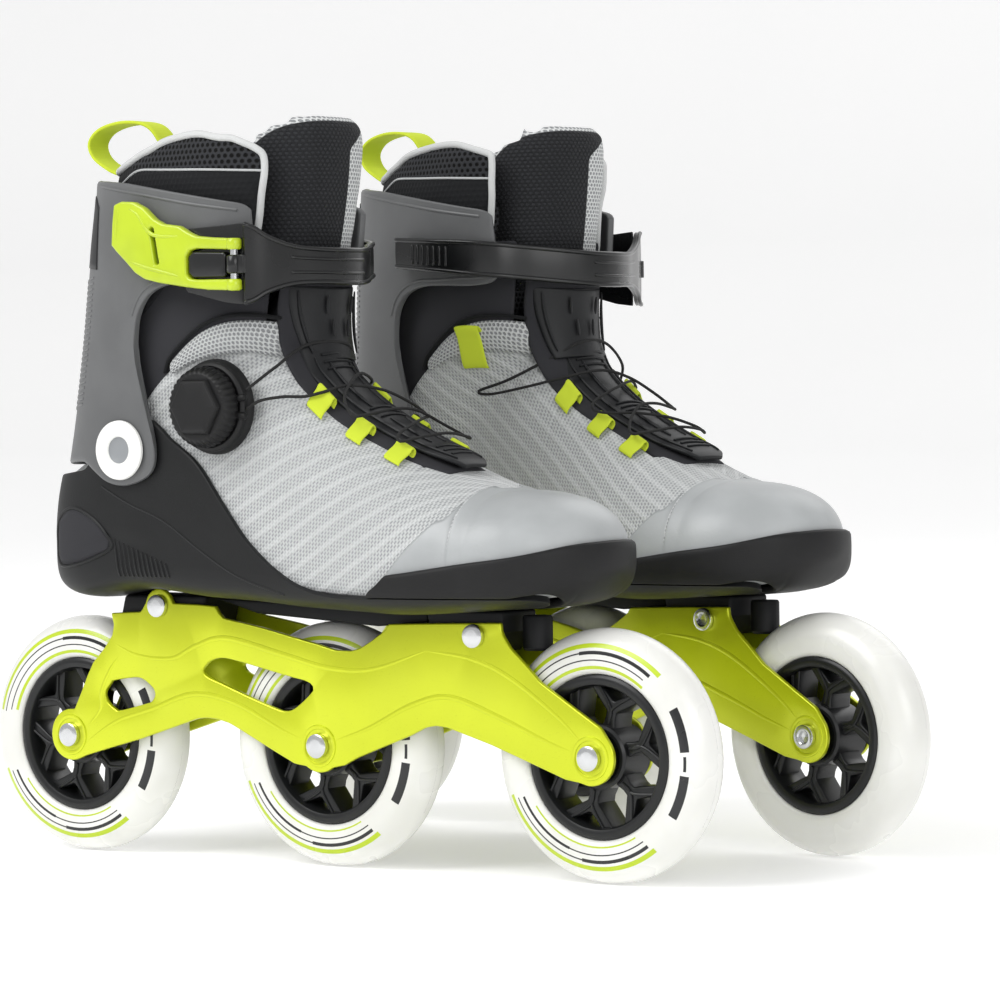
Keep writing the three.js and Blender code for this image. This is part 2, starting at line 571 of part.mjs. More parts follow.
/** The ankle strap: a flat band from the medial side, round the shin, to the buckle's hinge. */
function strap() {
  const path = [
    // x, y, height of the middle, half height
    [-67, 59.2, 163.5, 7.5], [-42, 59.2, 161.5, 8], [-25, 54, 160, 8.5], [-13, 45.5, 158.6, 8.5],
    [-4, 31.5, 157, 8.5], [5, 18, 155.4, 8.5], [11, 6, 154.2, 8.5], [12, -6, 154, 8.5], [8, -18, 154.2, 8.5],
    [1, -30, 154.6, 9.5], [-5, -40, 155, 13], [-9, -45.6, 155.2, 17], [-11.5, -49.4, 155.3, 18.5],
  ];
  const band = loft(path.map(([x, y, z, half], i) => {
    const [a, b] = [path[Math.max(i - 1, 0)], path[Math.min(i + 1, path.length - 1)]];
    const out = new THREE.Vector2(a[1] - b[1], b[0] - a[0]).normalize().multiplyScalar(STRAP_THICKNESS / 2);
    return [[1, 1], [1, -1], [-1, -1], [-1, 1]].map(
      ([side, up]) => new THREE.Vector3(x + out.x * side, y + out.y * side, SOLE + z + half * up),
    );
  }));
  const [near, far] = [STRAP_SLOT.x - 1.6, STRAP_SLOT.x + 1.6];
  const tail = block([near, 48, SOLE + STRAP_SLOT.low + 2.5], [far, 59, SOLE + STRAP_SLOT.high - 2.5]);
  const anchor = block([near - 4, 47.5, SOLE + STRAP_SLOT.low + 2.5], [far + 4, 49.4, SOLE + STRAP_SLOT.high - 2.5]);
  const [low, high] = [PRONG_HEIGHTS.low[1] + 0.4, PRONG_HEIGHTS.high[0] - 0.4];
  const knuckle = upright(KNUCKLE_RADIUS, low, high);
  const arm = block([LEVER_PIN.x, LEVER_PIN.y - 1.6, SOLE + low], [-10, LEVER_PIN.y + 1.6, SOLE + high]);
  return joined([band, tail, anchor, knuckle, arm]).subtract(upright(LEVER_PIN_DIAMETER / 2 + GAP, low - 20, high + 20));
}

/** A round bar along Z on the lever's pin, between two heights over SOLE. */
function upright(radius, low, high) {
  const bar = new THREE.CylinderGeometry(radius, radius, high - low, 16);
  return solid(bar.rotateX(Math.PI / 2).translate(LEVER_PIN.x, LEVER_PIN.y, SOLE + (low + high) / 2));
}

const buckleHinge = () =>
  upright(LEVER_PIN_DIAMETER / 2, PRONG_HEIGHTS.low[0] - 0.8, PRONG_HEIGHTS.high[1] + 0.8);

/** The buckle's lever: a broad finger plate behind and two prongs that carry the hinge pin. */
function lever() {
  const { low, high } = PRONG_HEIGHTS;
  const tip = LEVER_PIN.x;
  const outline = [
    [-85, 165.5], [-83, 184], [-72, 184.4], [-64, 180.5], [-56, 173.5], [-46, 173], [-38, 168.5],
    [tip, high[1]], [tip, high[0]], [-38, high[0] + 1.4], [-41, high[0] - 1], [-41, low[1] + 2],
    [-38, low[1] + 0.4], [tip, low[1]], [tip, low[0]], [-40, 145.4], [-62, 148.6], [-71, 152.6],
  ];
  const slot = [[-60, 156], [-57.5, 156], [-60.5, 173], [-63, 173]];
  const inner = LEVER_PIN.y + LEVER_THICKNESS / 2;
  const body = plate(raised(outline), inner - LEVER_THICKNESS, inner, [raised(slot)]);
  const eyes = [low, high].map(([from, to]) => upright(KNUCKLE_RADIUS, from, to));
  return joined([body, ...eyes]).subtract(upright(LEVER_PIN_DIAMETER / 2 + PIN_GAP, low[0] - 5, high[1] + 5));
}

// ---- lace and dial --------------------------------------------------------------------------------------------
const DIAL_BASE_Y = -38.5; // where the dial's base meets the upper

/** A turned piece on the dial's axis, from its [radius, depth out from the base] profile. */
const onDial = (profile, sides = ROUND_SIDES) =>
  turned(profile.map(([radius, out]) => [radius, DIAL_BASE_Y - out]), sides, DIAL.x, SOLE + DIAL.z);

function dialHousing() {
  const [outer, bore] = [DIAL_BASE_DIAMETER / 2, SPOOL_DIAMETER / 2 + 0.4];
  return onDial([
    [0, 0], [outer, 0], [outer, DIAL_BASE_DEPTH - 1], [outer - 1.5, DIAL_BASE_DEPTH], [bore, DIAL_BASE_DEPTH],
    [bore, 1.2], [0, 1.2],
  ]);
}

/** The reel inside the housing, with the square shaft that the knob slides on. */
function laceSpool() {
  const drum = SPOOL_DIAMETER / 2;
  const top = DIAL_BASE_DEPTH;
  const reel = onDial([[0, 1.5], [drum, 1.5], [drum, 2.3], [drum - 2.5, 2.6], [drum - 2.5, top - 0.6], [0, top - 0.6]], 20);
  return reel.add(onDial([[0, top - 1], [3.4, top - 1], [3.4, top + KNOB_DEPTH - 2], [0, top + KNOB_DEPTH - 2]], 4));
}

function dialKnob() {
  const [outer, face] = [KNOB_DIAMETER / 2, DIAL_BASE_DEPTH + 0.5];
  const top = face + KNOB_DEPTH;
  const round = onDial([[0, face], [outer, face], [outer, top - 0.8], [0, top - 0.8]], 24);
  const hexagon = onDial([[0, top - 1], [14, top - 1], [13.4, top + 1.2], [0, top + 1.2]], 6);
  const socket = onDial([[0, face - 1], [4, face - 1], [4, face + KNOB_DEPTH - 2], [0, face + KNOB_DEPTH - 2]], 4);
  return round.add(hexagon).subtract(socket);
}

const LACE_LIFT = 3.4; // how far the lace's middle stands off the listed surface points
// One lace of a single piece: dial, medial loop, three crossings down, across the toe end, and back up to the dial.
const LACE_ROUTE = [
  [-17.4, -41.5, 96.5], [-8, -33, 106], [-3, -16, 116], [2, 6, 116.5], [-6, 22, 108], [-20, 34, 99], [-33, 40.5, 94],
  [-26, 39.6, 92.5], [-10, 33, 95.5], [4, 22.6, 99.5], [12, 4, 103], [17, -10, 99.5], [22, -22, 92], [30, -27, 84.5],
  [34, -22, 84.6], [38, -6, 87], [40, 8, 86], [46, 21, 79], [53, 28, 73.5], [57, 22, 74], [60, 3, 76], [58, -14, 74.6],
  [53, -23, 72.8], [50, -20, 76], [47, -4, 80.6], [41, 12, 82.8], [34, 24, 83], [29, 28, 85], [26, 22, 89.4],
  [24, 4, 95.4], [17, -12, 97.6], [10, -23, 94.6], [4, -27.6, 93], [-4, -33, 93], [-12, -39, 91.4], [-17.4, -41.5, 88],
];

function lace() {
  const points = LACE_ROUTE.map(([x, y, z]) => [x, y, z + SOLE + LACE_LIFT]);
  return solid(cord(points, LACE_DIAMETER / 2, 8, 48));
}

/** The webbing pull loop at the back of the collar. */
function pullLoop() {
  const path = [
    [-118.9, 186], [-119.2, 198], [-129, 203], [-138, 209], [-140.5, 216], [-134, 222], [-120, 224.6],
    [-106, 222.4], [-98, 214], [-96.5, 206],
  ];
  const half = LOOP_THICKNESS / 2;
  return loft(path.map(([x, z], i) => {
    const [a, b] = [path[Math.max(i - 1, 0)], path[Math.min(i + 1, path.length - 1)]];
    const out = new THREE.Vector2(a[1] - b[1], b[0] - a[0]).normalize().multiplyScalar(half);
    const y = legLean(z);
    return [[1, 1], [1, -1], [-1, -1], [-1, 1]].map(
      ([side, across]) =>
        new THREE.Vector3(x + out.x * side, y + (LOOP_WIDTH / 2) * across, SOLE + z + out.y * side),
    );
  }));
}

// ---- assembly -----------------------------------------------------------------------------------------------
function skate(side) {
  const group = new THREE.Group();
  const add = (name, made, material, x = 0, z = 0) => {
    const mesh = new THREE.Mesh(geometryOf(made), material);
    mesh.name = `${side}_${name}`;
    mesh.position.set(x, 0, z);
    group.add(mesh);
  };
  add("frame", frame(), LIME_METAL);
  add("frame_bolt_rear", frameBolt(REAR_BOLT), STEEL);
  add("frame_bolt_front", frameBolt(FRONT_BOLT), STEEL);
  for (const [place, x] of Object.entries(WHEELS)) {
    add(`axle_${place}`, axle(), STEEL, x, WHEEL_RADIUS);
    add(`tyre_${place}`, tyre(), URETHANE, x, WHEEL_RADIUS);
    add(`hub_${place}`, hub(), BLACK_PLASTIC, x, WHEEL_RADIUS);
  }
  add("shell", shell(), BLACK_PLASTIC);
  add("toe_rand", toeRand(), BLACK_RUBBER);
  add("upper", upper(), KNIT);
  add("insole", insole(), BLACK_FABRIC);
  add("tongue_guard", tongueGuard(), BLACK_PLASTIC);
  add("cuff", cuff(), GREY_PLASTIC);
  add("cuff_pivot_lateral", cuffPivot(-1), WHITE_PLASTIC);
  add("cuff_pivot_medial", cuffPivot(1), WHITE_PLASTIC);
  add("collar", collar(), BLACK_FABRIC);
  add("tongue", tongue(), BLACK_FABRIC);
  add("pull_loop", pullLoop(), LIME_PLASTIC);
  add("strap", strap(), BLACK_PLASTIC);
  add("buckle_pin", buckleHinge(), STEEL);
  add("buckle_lever", lever(), LIME_PLASTIC);
  add("dial_housing", dialHousing(), BLACK_PLASTIC);
  add("lace_spool", laceSpool(), STEEL);
  add("dial_knob", dialKnob(), BLACK_RUBBER);
  add("lace", lace(), BLACK_FABRIC);
  return group;
}

function pair() {
  const right = skate("right");
  const left = skate("left");
  left.scale.y = -1;
  left.position.set(LEFT_SKATE.x, LEFT_SKATE.y, 0);
  left.rotation.z = THREE.MathUtils.degToRad(LEFT_SKATE.turn);
  const both = new THREE.Group();
  both.add(right, left);
  const box = new THREE.Box3().setFromObject(both, true);
  both.position.set(-(box.min.x + box.max.x) / 2, -(box.min.y + box.max.y) / 2, -box.min.z);
  const base = new THREE.Group();
  base.add(both);
  return base;
}

export default pair();
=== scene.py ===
"""The looks of a pair of inline skates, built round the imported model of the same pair.

Every piece is made once, for the right skate, in that skate's own millimetres: +X to the toes, +Y to the
inner side of the foot, +Z up, with the ground under the middle wheel as the origin. The left skate is its
mirror image.
"""

import json
import logging
import math
from dataclasses import dataclass
from enum import Enum
from functools import cache
from typing import Callable, Iterable, Optional, Sequence, Union

import bmesh
import bpy
import numpy as np
from mathutils import Matrix, Vector
from mathutils.bvhtree import BVHTree
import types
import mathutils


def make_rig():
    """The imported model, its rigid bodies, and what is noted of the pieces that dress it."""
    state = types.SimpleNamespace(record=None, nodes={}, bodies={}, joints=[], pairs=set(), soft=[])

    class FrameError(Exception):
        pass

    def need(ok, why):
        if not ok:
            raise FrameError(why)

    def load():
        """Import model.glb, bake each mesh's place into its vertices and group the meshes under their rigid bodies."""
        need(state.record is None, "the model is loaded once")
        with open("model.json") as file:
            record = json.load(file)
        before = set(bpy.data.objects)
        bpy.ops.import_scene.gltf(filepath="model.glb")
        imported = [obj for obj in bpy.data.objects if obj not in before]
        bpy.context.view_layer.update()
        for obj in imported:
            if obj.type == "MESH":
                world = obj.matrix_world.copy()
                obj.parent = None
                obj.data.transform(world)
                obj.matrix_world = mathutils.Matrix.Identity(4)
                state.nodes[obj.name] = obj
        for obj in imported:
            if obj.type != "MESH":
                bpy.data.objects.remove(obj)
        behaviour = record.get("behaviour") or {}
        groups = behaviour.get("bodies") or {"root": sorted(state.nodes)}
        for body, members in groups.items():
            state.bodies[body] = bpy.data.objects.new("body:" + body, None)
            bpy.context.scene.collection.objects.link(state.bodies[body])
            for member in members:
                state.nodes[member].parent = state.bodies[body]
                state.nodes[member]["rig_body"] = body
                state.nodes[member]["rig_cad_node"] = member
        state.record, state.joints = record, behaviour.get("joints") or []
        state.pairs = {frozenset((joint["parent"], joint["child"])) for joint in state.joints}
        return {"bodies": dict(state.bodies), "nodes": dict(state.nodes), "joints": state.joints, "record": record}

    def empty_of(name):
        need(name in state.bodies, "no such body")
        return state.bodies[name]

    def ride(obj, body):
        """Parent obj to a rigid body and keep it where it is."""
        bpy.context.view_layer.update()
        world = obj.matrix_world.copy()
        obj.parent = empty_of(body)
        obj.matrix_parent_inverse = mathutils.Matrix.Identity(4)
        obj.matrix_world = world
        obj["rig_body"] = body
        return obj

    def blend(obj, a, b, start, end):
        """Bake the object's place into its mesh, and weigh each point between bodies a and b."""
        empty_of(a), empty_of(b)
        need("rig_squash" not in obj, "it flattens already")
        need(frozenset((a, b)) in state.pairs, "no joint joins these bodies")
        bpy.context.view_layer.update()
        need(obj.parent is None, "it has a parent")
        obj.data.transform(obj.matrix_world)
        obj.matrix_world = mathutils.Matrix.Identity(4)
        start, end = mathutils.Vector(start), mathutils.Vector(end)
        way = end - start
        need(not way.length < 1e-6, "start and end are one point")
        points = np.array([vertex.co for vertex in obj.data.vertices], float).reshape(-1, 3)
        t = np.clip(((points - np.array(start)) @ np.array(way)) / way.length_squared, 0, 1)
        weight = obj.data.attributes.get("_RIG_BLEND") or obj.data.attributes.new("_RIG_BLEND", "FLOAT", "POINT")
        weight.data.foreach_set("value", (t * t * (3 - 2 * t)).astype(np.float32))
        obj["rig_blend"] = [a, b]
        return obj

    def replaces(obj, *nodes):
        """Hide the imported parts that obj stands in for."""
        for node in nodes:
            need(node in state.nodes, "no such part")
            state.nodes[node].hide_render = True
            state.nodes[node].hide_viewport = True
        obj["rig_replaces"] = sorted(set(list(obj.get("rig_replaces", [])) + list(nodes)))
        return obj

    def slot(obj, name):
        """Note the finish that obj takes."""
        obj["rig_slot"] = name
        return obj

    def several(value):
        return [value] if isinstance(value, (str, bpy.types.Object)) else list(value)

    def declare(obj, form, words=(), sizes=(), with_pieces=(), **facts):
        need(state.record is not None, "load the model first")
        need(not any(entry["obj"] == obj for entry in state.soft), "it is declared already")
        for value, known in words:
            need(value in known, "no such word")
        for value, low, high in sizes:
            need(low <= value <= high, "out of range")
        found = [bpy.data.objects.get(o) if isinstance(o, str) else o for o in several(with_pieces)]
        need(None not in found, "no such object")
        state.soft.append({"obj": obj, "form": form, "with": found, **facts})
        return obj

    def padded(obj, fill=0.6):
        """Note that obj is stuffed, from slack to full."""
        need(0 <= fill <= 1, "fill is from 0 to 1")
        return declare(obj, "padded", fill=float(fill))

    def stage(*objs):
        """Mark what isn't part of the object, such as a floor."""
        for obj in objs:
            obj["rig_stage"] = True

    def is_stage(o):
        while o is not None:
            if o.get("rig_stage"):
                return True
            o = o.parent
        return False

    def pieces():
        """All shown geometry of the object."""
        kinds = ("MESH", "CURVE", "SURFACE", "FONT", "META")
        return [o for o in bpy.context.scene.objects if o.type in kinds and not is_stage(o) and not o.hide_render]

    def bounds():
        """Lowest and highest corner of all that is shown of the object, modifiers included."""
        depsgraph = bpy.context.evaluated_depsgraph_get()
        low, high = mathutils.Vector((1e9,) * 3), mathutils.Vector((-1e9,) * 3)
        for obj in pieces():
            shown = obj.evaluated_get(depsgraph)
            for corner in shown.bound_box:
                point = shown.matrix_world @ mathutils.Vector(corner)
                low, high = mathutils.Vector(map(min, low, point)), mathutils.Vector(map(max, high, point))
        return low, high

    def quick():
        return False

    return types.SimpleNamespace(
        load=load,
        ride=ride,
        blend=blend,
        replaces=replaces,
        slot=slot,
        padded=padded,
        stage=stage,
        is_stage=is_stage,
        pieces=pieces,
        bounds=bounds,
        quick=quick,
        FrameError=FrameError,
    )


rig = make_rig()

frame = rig.load()
CAD_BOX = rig.bounds()
LOG = logging.getLogger("skates")
Array = np.ndarray
Colour = tuple[float, float, float]
TO_METRES = Matrix.Scale(0.001, 4)
TO_MILLIMETRES = Matrix.Scale(1000, 4)
UP = np.array([0, 0, 1.0])
CLOTH_FRAMES = 20
"""How many frames the pads are puffed up for."""


def tint(code: str) -> Colour:
    """Turn a six digit colour code into linear red, green and blue.

    Args:
        code: Two hexadecimal digits each for red, green and blue.

    Returns:
        The colour as the shader wants it.
    """
    parts = [int(code[i : i + 2], 16) / 255 for i in (0, 2, 4)]
    return tuple(p / 12.92 if p <= 0.04045 else ((p + 0.055) / 1.055) ** 2.4 for p in parts)


# ---- shader sums ----------------------------------------------------------------------------------------------
Number = Union[float, "Signal"]


class Signal:
    """One output socket of a material, which can be used in sums."""

    def __init__(self, graph: "Graph", socket: bpy.types.NodeSocket) -> None:
        """Wrap a socket of a graph."""
        self.graph = graph
        self.socket = socket

    def _sum(self, operation: str, *values: Number) -> "Signal":
        """Add one Math node that works on the given values, in order."""
        inputs = dict(enumerate(values))
        return self.graph.node("ShaderNodeMath", {"operation": operation}, inputs)

    def __add__(self, other: Number) -> "Signal":
        """Return self + other."""
        return self._sum("ADD", self, other)

    def __sub__(self, other: Number) -> "Signal":
        """Return self - other."""
        return self._sum("SUBTRACT", self, other)

    def __rsub__(self, other: Number) -> "Signal":
        """Return other - self."""
        return self._sum("SUBTRACT", other, self)

    def __mul__(self, other: Number) -> "Signal":
        """Return self * other."""
        return self._sum("MULTIPLY", self, other)

    def __truediv__(self, other: Number) -> "Signal":
        """Return self / other."""
        return self._sum("DIVIDE", self, other)

    def __pow__(self, other: Number) -> "Signal":
        """Return self to the power of other."""
        return self._sum("POWER", self, other)

    def __abs__(self) -> "Signal":
        """Return the size of self without its sign."""
        return self._sum("ABSOLUTE", self)

    __radd__ = __add__
    __rmul__ = __mul__

    def over(self, limit: Number) -> "Signal":
        """Return 1 where self is more than the limit, or else 0."""
        return self._sum("GREATER_THAN", self, limit)

    def repeat(self, pitch: float) -> "Signal":
        """Return self counted again from 0 after every pitch."""
        return self._sum("FLOORED_MODULO", self, pitch)

    def sine(self) -> "Signal":
        """Return the sine of self."""
        return self._sum("SINE", self)

    def ramp(self, low: float, high: float) -> "Signal":
        """Return self stretched from low and high to 0 and 1, held at both ends and eased."""
        settings = {"interpolation_type": "SMOOTHSTEP"}
        inputs = {"Value": self, "From Min": low, "From Max": high}
        return self.graph.node("ShaderNodeMapRange", settings, inputs)

    def between(self, low: float, high: float, soft: float) -> "Signal":
        """Return 1 from low to high and 0 outside, with edges as wide as soft."""
        return self.ramp(low - soft, low) * (1 - self.ramp(high, high + soft))


class Graph:
    """A material's nodes, added one by one."""

    def __init__(self, name: str) -> None:
        """Start a material with one Principled shader."""
        self.material = bpy.data.materials.new(name)
        self.material.use_nodes = True
        self.nodes = self.material.node_tree.nodes
        self.links = self.material.node_tree.links
        self.shader = self.nodes["Principled BSDF"]

    def connect(self, value: Union[Number, Sequence[float]], socket: bpy.types.NodeSocket) -> None:
        """Link a signal to a socket, or set the socket's own value.

        Args:
            value: A signal, a number, or the numbers of a vector or a colour.
            socket: The input that takes it.
        """
        if isinstance(value, Signal):
            self.links.new(value.socket, socket)
        elif isinstance(value, (int, float)):
            socket.default_value = value
        else:
            room = len(socket.default_value)
            socket.default_value = (*value, 1.0) if room == 4 and len(value) == 3 else tuple(value)

    def node(self, kind: str, settings: dict, inputs: dict, output: Union[int, str] = 0) -> Signal:
        """Add one node.

        Args:
            kind: The node's type.
            settings: Its attributes.
            inputs: The value or signal of each socket, by name or number.
            output: Which of its outputs is returned.

        Returns:
            The chosen output.
        """
        made = self.nodes.new(kind)
        for key, value in settings.items():
            setattr(made, key, value)
        for key, value in inputs.items():
            self.connect(value, made.inputs[key])
        return Signal(self, made.outputs[output])

    def place(self) -> Signal:
        """Return the surface's own position on the object, in metres."""
        return self.node("ShaderNodeTexCoord", {}, {}, "Object")

    def chart(self) -> tuple[Signal, Signal]:
        """Return the two flat coordinates of the piece, in millimetres."""
        flat = self.node("ShaderNodeTexCoord", {}, {}, "UV")
        split = self.node("ShaderNodeSeparateXYZ", {}, {0: flat})
        return split, Signal(self, split.socket.node.outputs[1])

    def noise(self, at: Signal, scale: float, detail: float = 3.0) -> Signal:
        """Return cloudy noise from 0 to 1 at a vector."""
        return self.node("ShaderNodeTexNoise", {}, {"Vector": at, "Scale": scale, "Detail": detail})

    def mix(self, factor: Number, first: Union[Colour, Signal], second: Union[Colour, Signal]) -> Signal:
        """Mix two colours.

        Args:
            factor: 0 gives the first colour and 1 the second.
            first: A colour or a signal.
            second: A colour or a signal.

        Returns:
            The mixed colour.
        """
        # Socket numbers of the colour form of the Mix node: 0 factor, 6 and 7 the colours, output 2.
        return self.node("ShaderNodeMix", {"data_type": "RGBA"}, {0: factor, 6: first, 7: second}, 2)

    def finish(self, colour: Union[Colour, Signal], rough: Number, height: Optional[Signal] = None,
               depth: float = 0.0, **constants: Union[float, Colour]) -> bpy.types.Material:
        """Join everything to the shader.

        Args:
            colour: The base colour.
            rough: The roughness.
            height: The relief, from 0 to 1.
            depth: What a height of 1 stands for, in metres.
            **constants: Values set on the shader's own sockets, with _ for the spaces in their names.

        Returns:
            The finished material.
        """
        self.connect(colour, self.shader.inputs["Base Color"])
        self.connect(rough, self.shader.inputs["Roughness"])
        for name, value in constants.items():
            self.connect(value, self.shader.inputs[name.replace("_", " ")])
        if height is not None:
            bump = self.node("ShaderNodeBump", {}, {"Height": height, "Distance": depth, "Strength": 1.0})
            self.connect(bump, self.shader.inputs["Normal"])
        return self.material


# ---- finishes -------------------------------------------------------------------------------------------------
@dataclass(frozen=True)
class Finish:
    """What a surface is made of. Each kind of finish knows its own material."""

    name: str

    def build(self) -> bpy.types.Material:
        """Make the material."""
        raise NotImplementedError

    def material(self) -> bpy.types.Material:
        """Return the material, made the first time it is asked for."""
        found = bpy.data.materials.get(self.name)
        return found if found else self.build()


@dataclass(frozen=True)
class Plastic(Finish):
    """Moulded plastic or rubber with a fine grain and faint handling marks."""

    colour: Colour = (0.02, 0.02, 0.02)
    rough: float = 0.45
    grain: float = 0.00003
    size: float = 900.0
    coat: float = 0.0
    shine: float = 0.3

    def build(self) -> bpy.types.Material:
        """Make the material."""
        graph = Graph(self.name)
        at = graph.place()
        cloud = graph.noise(at, 35.0)
        relief = graph.noise(at, self.size, 2.0)
        lighter = tuple(min(1.0, c * 1.08 + 0.001) for c in self.colour)
        darker = tuple(c * 0.94 for c in self.colour)
        colour = graph.mix(cloud.ramp(0.3, 0.7), darker, lighter)
        rough = self.rough + (cloud - 0.5) * 0.1
        return graph.finish(colour, rough, relief, self.grain, Coat_Weight=self.coat, Coat_Roughness=0.25,
                            Specular_IOR_Level=self.shine)


@dataclass(frozen=True)
class Anodised(Finish):
    """Bead-blasted, dyed aluminium: fine satin grain and a slight change of shade along the part."""

    colour: Colour = (0.5, 0.6, 0.02)
    rough: float = 0.3

    def build(self) -> bpy.types.Material:
        """Make the material."""
        graph = Graph(self.name)
        at = graph.place()
        cloud = graph.noise(at, 14.0)
        grain = graph.noise(at, 2600.0, 2.0)
        darker = tuple(c * 0.9 for c in self.colour)
        colour = graph.mix(cloud.ramp(0.35, 0.65), self.colour, darker)
        return graph.finish(colour, self.rough + (grain - 0.5) * 0.12, grain, 0.00001,
                            Metallic=0.55, Specular_IOR_Level=0.6, Coat_Weight=0.25, Coat_Roughness=0.2)


@dataclass(frozen=True)
class Steel(Finish):
    """Turned and polished steel."""

    colour: Colour = (0.7, 0.71, 0.72)
    rough: float = 0.22

    def build(self) -> bpy.types.Material:
        """Make the material."""
        graph = Graph(self.name)
        at = graph.place()
        cloud = graph.noise(at, 120.0)
        rough = self.rough + (cloud - 0.5) * 0.15
        return graph.finish(graph.mix(cloud, self.colour, tuple(c * 0.86 for c in self.colour)), rough,
                            graph.noise(at, 1500.0, 1.0), 0.000006, Metallic=1.0)


@dataclass(frozen=True)
class Urethane(Finish):
    """Cast white urethane with printed rings on one side. The chart is (turn in degrees, signed radius)."""

    lime: Colour = tint("B9CF1F")
    ink: Colour = tint("1B1C1E")

    def arc(self, turn: Signal, radius: Signal, at: float, wide: float, start: float, end: float) -> Signal:
        """Mask one printed arc.

        Args:
            turn: The angle round the wheel in degrees.
            radius: The distance from the axle, negative on the plain side.
            at: The arc's radius.
            wide: The arc's width.
            start: The angle it starts at.
            end: The angle it ends at.

        Returns:
            1 on the arc and 0 elsewhere.
        """
        return radius.between(at - wide / 2, at + wide / 2, 0.12) * turn.between(start, end, 0.2)

    def build(self) -> bpy.types.Material:
        """Make the material."""
        graph = Graph(self.name)
        turn, radius = graph.chart()
        cloud = graph.noise(graph.place(), 30.0)
        colour = graph.mix(cloud.ramp(0.3, 0.7), tint("E8E8E4"), tint("DEDED9"))
        prints = [
            (48.0, 1.8, 48.0, 168.0, self.lime), (38.6, 1.3, 52.0, 165.0, self.lime),
            (45.0, 0.5, 100.0, 168.0, self.ink), (45.0, 1.4, 52.0, 100.0, self.ink),
            (41.8, 0.45, 54.0, 166.0, self.ink), (47.8, 1.9, 202.0, 307.0, self.lime),
            (44.8, 0.5, 205.0, 260.0, self.ink), (44.8, 1.4, 260.0, 305.0, self.ink),
            (41.9, 0.45, 250.0, 304.0, self.ink), (41.9, 1.0, 206.0, 250.0, self.ink),
            (38.5, 0.6, 215.0, 300.0, self.lime), (45.0, 4.0, 328.0, 352.0, self.ink),
            (45.0, 4.0, 5.0, 29.0, self.ink), (45.0, 1.2, 354.5, 360.0, self.ink),
            (45.0, 1.2, 0.0, 2.5, self.ink),
        ]
        for at, wide, start, end, ink in prints:
            colour = graph.mix(self.arc(turn, radius, at, wide, start, end), colour, ink)
        return graph.finish(colour, 0.28 + (cloud - 0.5) * 0.1, graph.noise(graph.place(), 260.0), 0.00003,
                            Subsurface_Weight=0.25, Subsurface_Radius=(0.004, 0.004, 0.0035),
                            Coat_Weight=0.15, Coat_Roughness=0.2)


# ---- shapes ---------------------------------------------------------------------------------------------------
class Side(Enum):
    """Which foot a skate is for."""

    RIGHT = "right"
    LEFT = "left"


class Smooth:
    """A smooth curve through pairs of (place, value), held level past both ends."""

    def __init__(self, *pairs: tuple[float, float]) -> None:
        """Keep the pairs and the slope at each."""
        self.x, self.v = np.array(pairs, float).T
        ahead = np.minimum(np.arange(len(self.x)) + 1, len(self.x) - 1)
        behind = np.maximum(np.arange(len(self.x)) - 1, 0)
        self.slope = (self.v[ahead] - self.v[behind]) / (self.x[ahead] - self.x[behind])

    def __call__(self, x: Union[float, Array]) -> Array:
        """Return the value at x."""
        x = np.clip(x, self.x[0], self.x[-1])
        i = np.clip(np.searchsorted(self.x, x, side="right") - 1, 0, len(self.x) - 2)
        width = self.x[i + 1] - self.x[i]
        t = (x - self.x[i]) / width
        start = self.v[i] * (1 + 2 * t) * (1 - t) ** 2 + self.slope[i] * width * t * (1 - t) ** 2
        end = self.v[i + 1] * t * t * (3 - 2 * t) + self.slope[i + 1] * width * t * t * (t - 1)
        return start + end


def resample(points: Sequence[Sequence[float]], count: int, smooth: bool = False) -> Array:
    """Spread points evenly along a line.

    Args:
        points: The line's corners, in any number of dimensions.
        count: How many points to return.
        smooth: Whether the line is rounded through its corners.

    Returns:
        The spread points.
    """
    line = np.array(points, float)
    if smooth:
        padded = np.vstack([2 * line[0] - line[1], line, 2 * line[-1] - line[-2]])
        steps = np.linspace(0, 1, 12, endpoint=False)[:, None]
        parts = []
        for a, b, c, d in zip(padded, padded[1:], padded[2:], padded[3:]):
            parts.append(0.5 * (2 * b + (c - a) * steps + (2 * a - 5 * b + 4 * c - d) * steps**2
                                + (3 * b - a - 3 * c + d) * steps**3))
        line = np.vstack([*parts, line[-1:]])
    along = lengths(line)
    at = np.linspace(0, along[-1], count)
    return np.stack([np.interp(at, along, axis) for axis in line.T], axis=1)


def closed(line: Sequence[Sequence[float]], count: int, smooth: bool = False) -> Array:
    """Spread points evenly round an outline that is given without its first corner again at the end."""
    return resample([*line, line[0]], count, smooth)[:-1]


def lengths(points: Array) -> Array:
    """Return each point's distance along the line that it is on."""
    return np.r_[0, np.cumsum(np.linalg.norm(np.diff(points, axis=0), axis=1))]


def tapered(radius: float, count: int, blunt: float) -> Array:
    """Return half widths along a bar that thins out towards both ends, the less the blunter they are."""
    return radius * np.sqrt(np.sin(np.linspace(blunt, math.pi - blunt, count)))


def box(x0: float, x1: float, z0: float, z1: float) -> Array:
    """Return the corners of a box in the side view."""
    return np.array([(x0, z0), (x1, z0), (x1, z1), (x0, z1)])


def together(*axes: Array) -> Array:
    """Join coordinates into points, each stretched to the shape of all."""
    return np.stack(np.broadcast_arrays(*axes), axis=-1)


@dataclass
class Grid:
    """Rows of points that make one sheet of faces, with flat coordinates for its pattern."""

    points: Array
    chart: Optional[Array] = None

    def with_chart(self) -> Array:
        """Return the flat coordinates: distances along the middle row and along the middle column."""
        if self.chart is not None:
            return self.chart
        rows, columns = self.points.shape[:2]
        across = lengths(self.points[rows // 2])
        upward = lengths(self.points[:, columns // 2])
        return np.stack(np.broadcast_arrays(across[None, :], upward[:, None]), axis=-1)


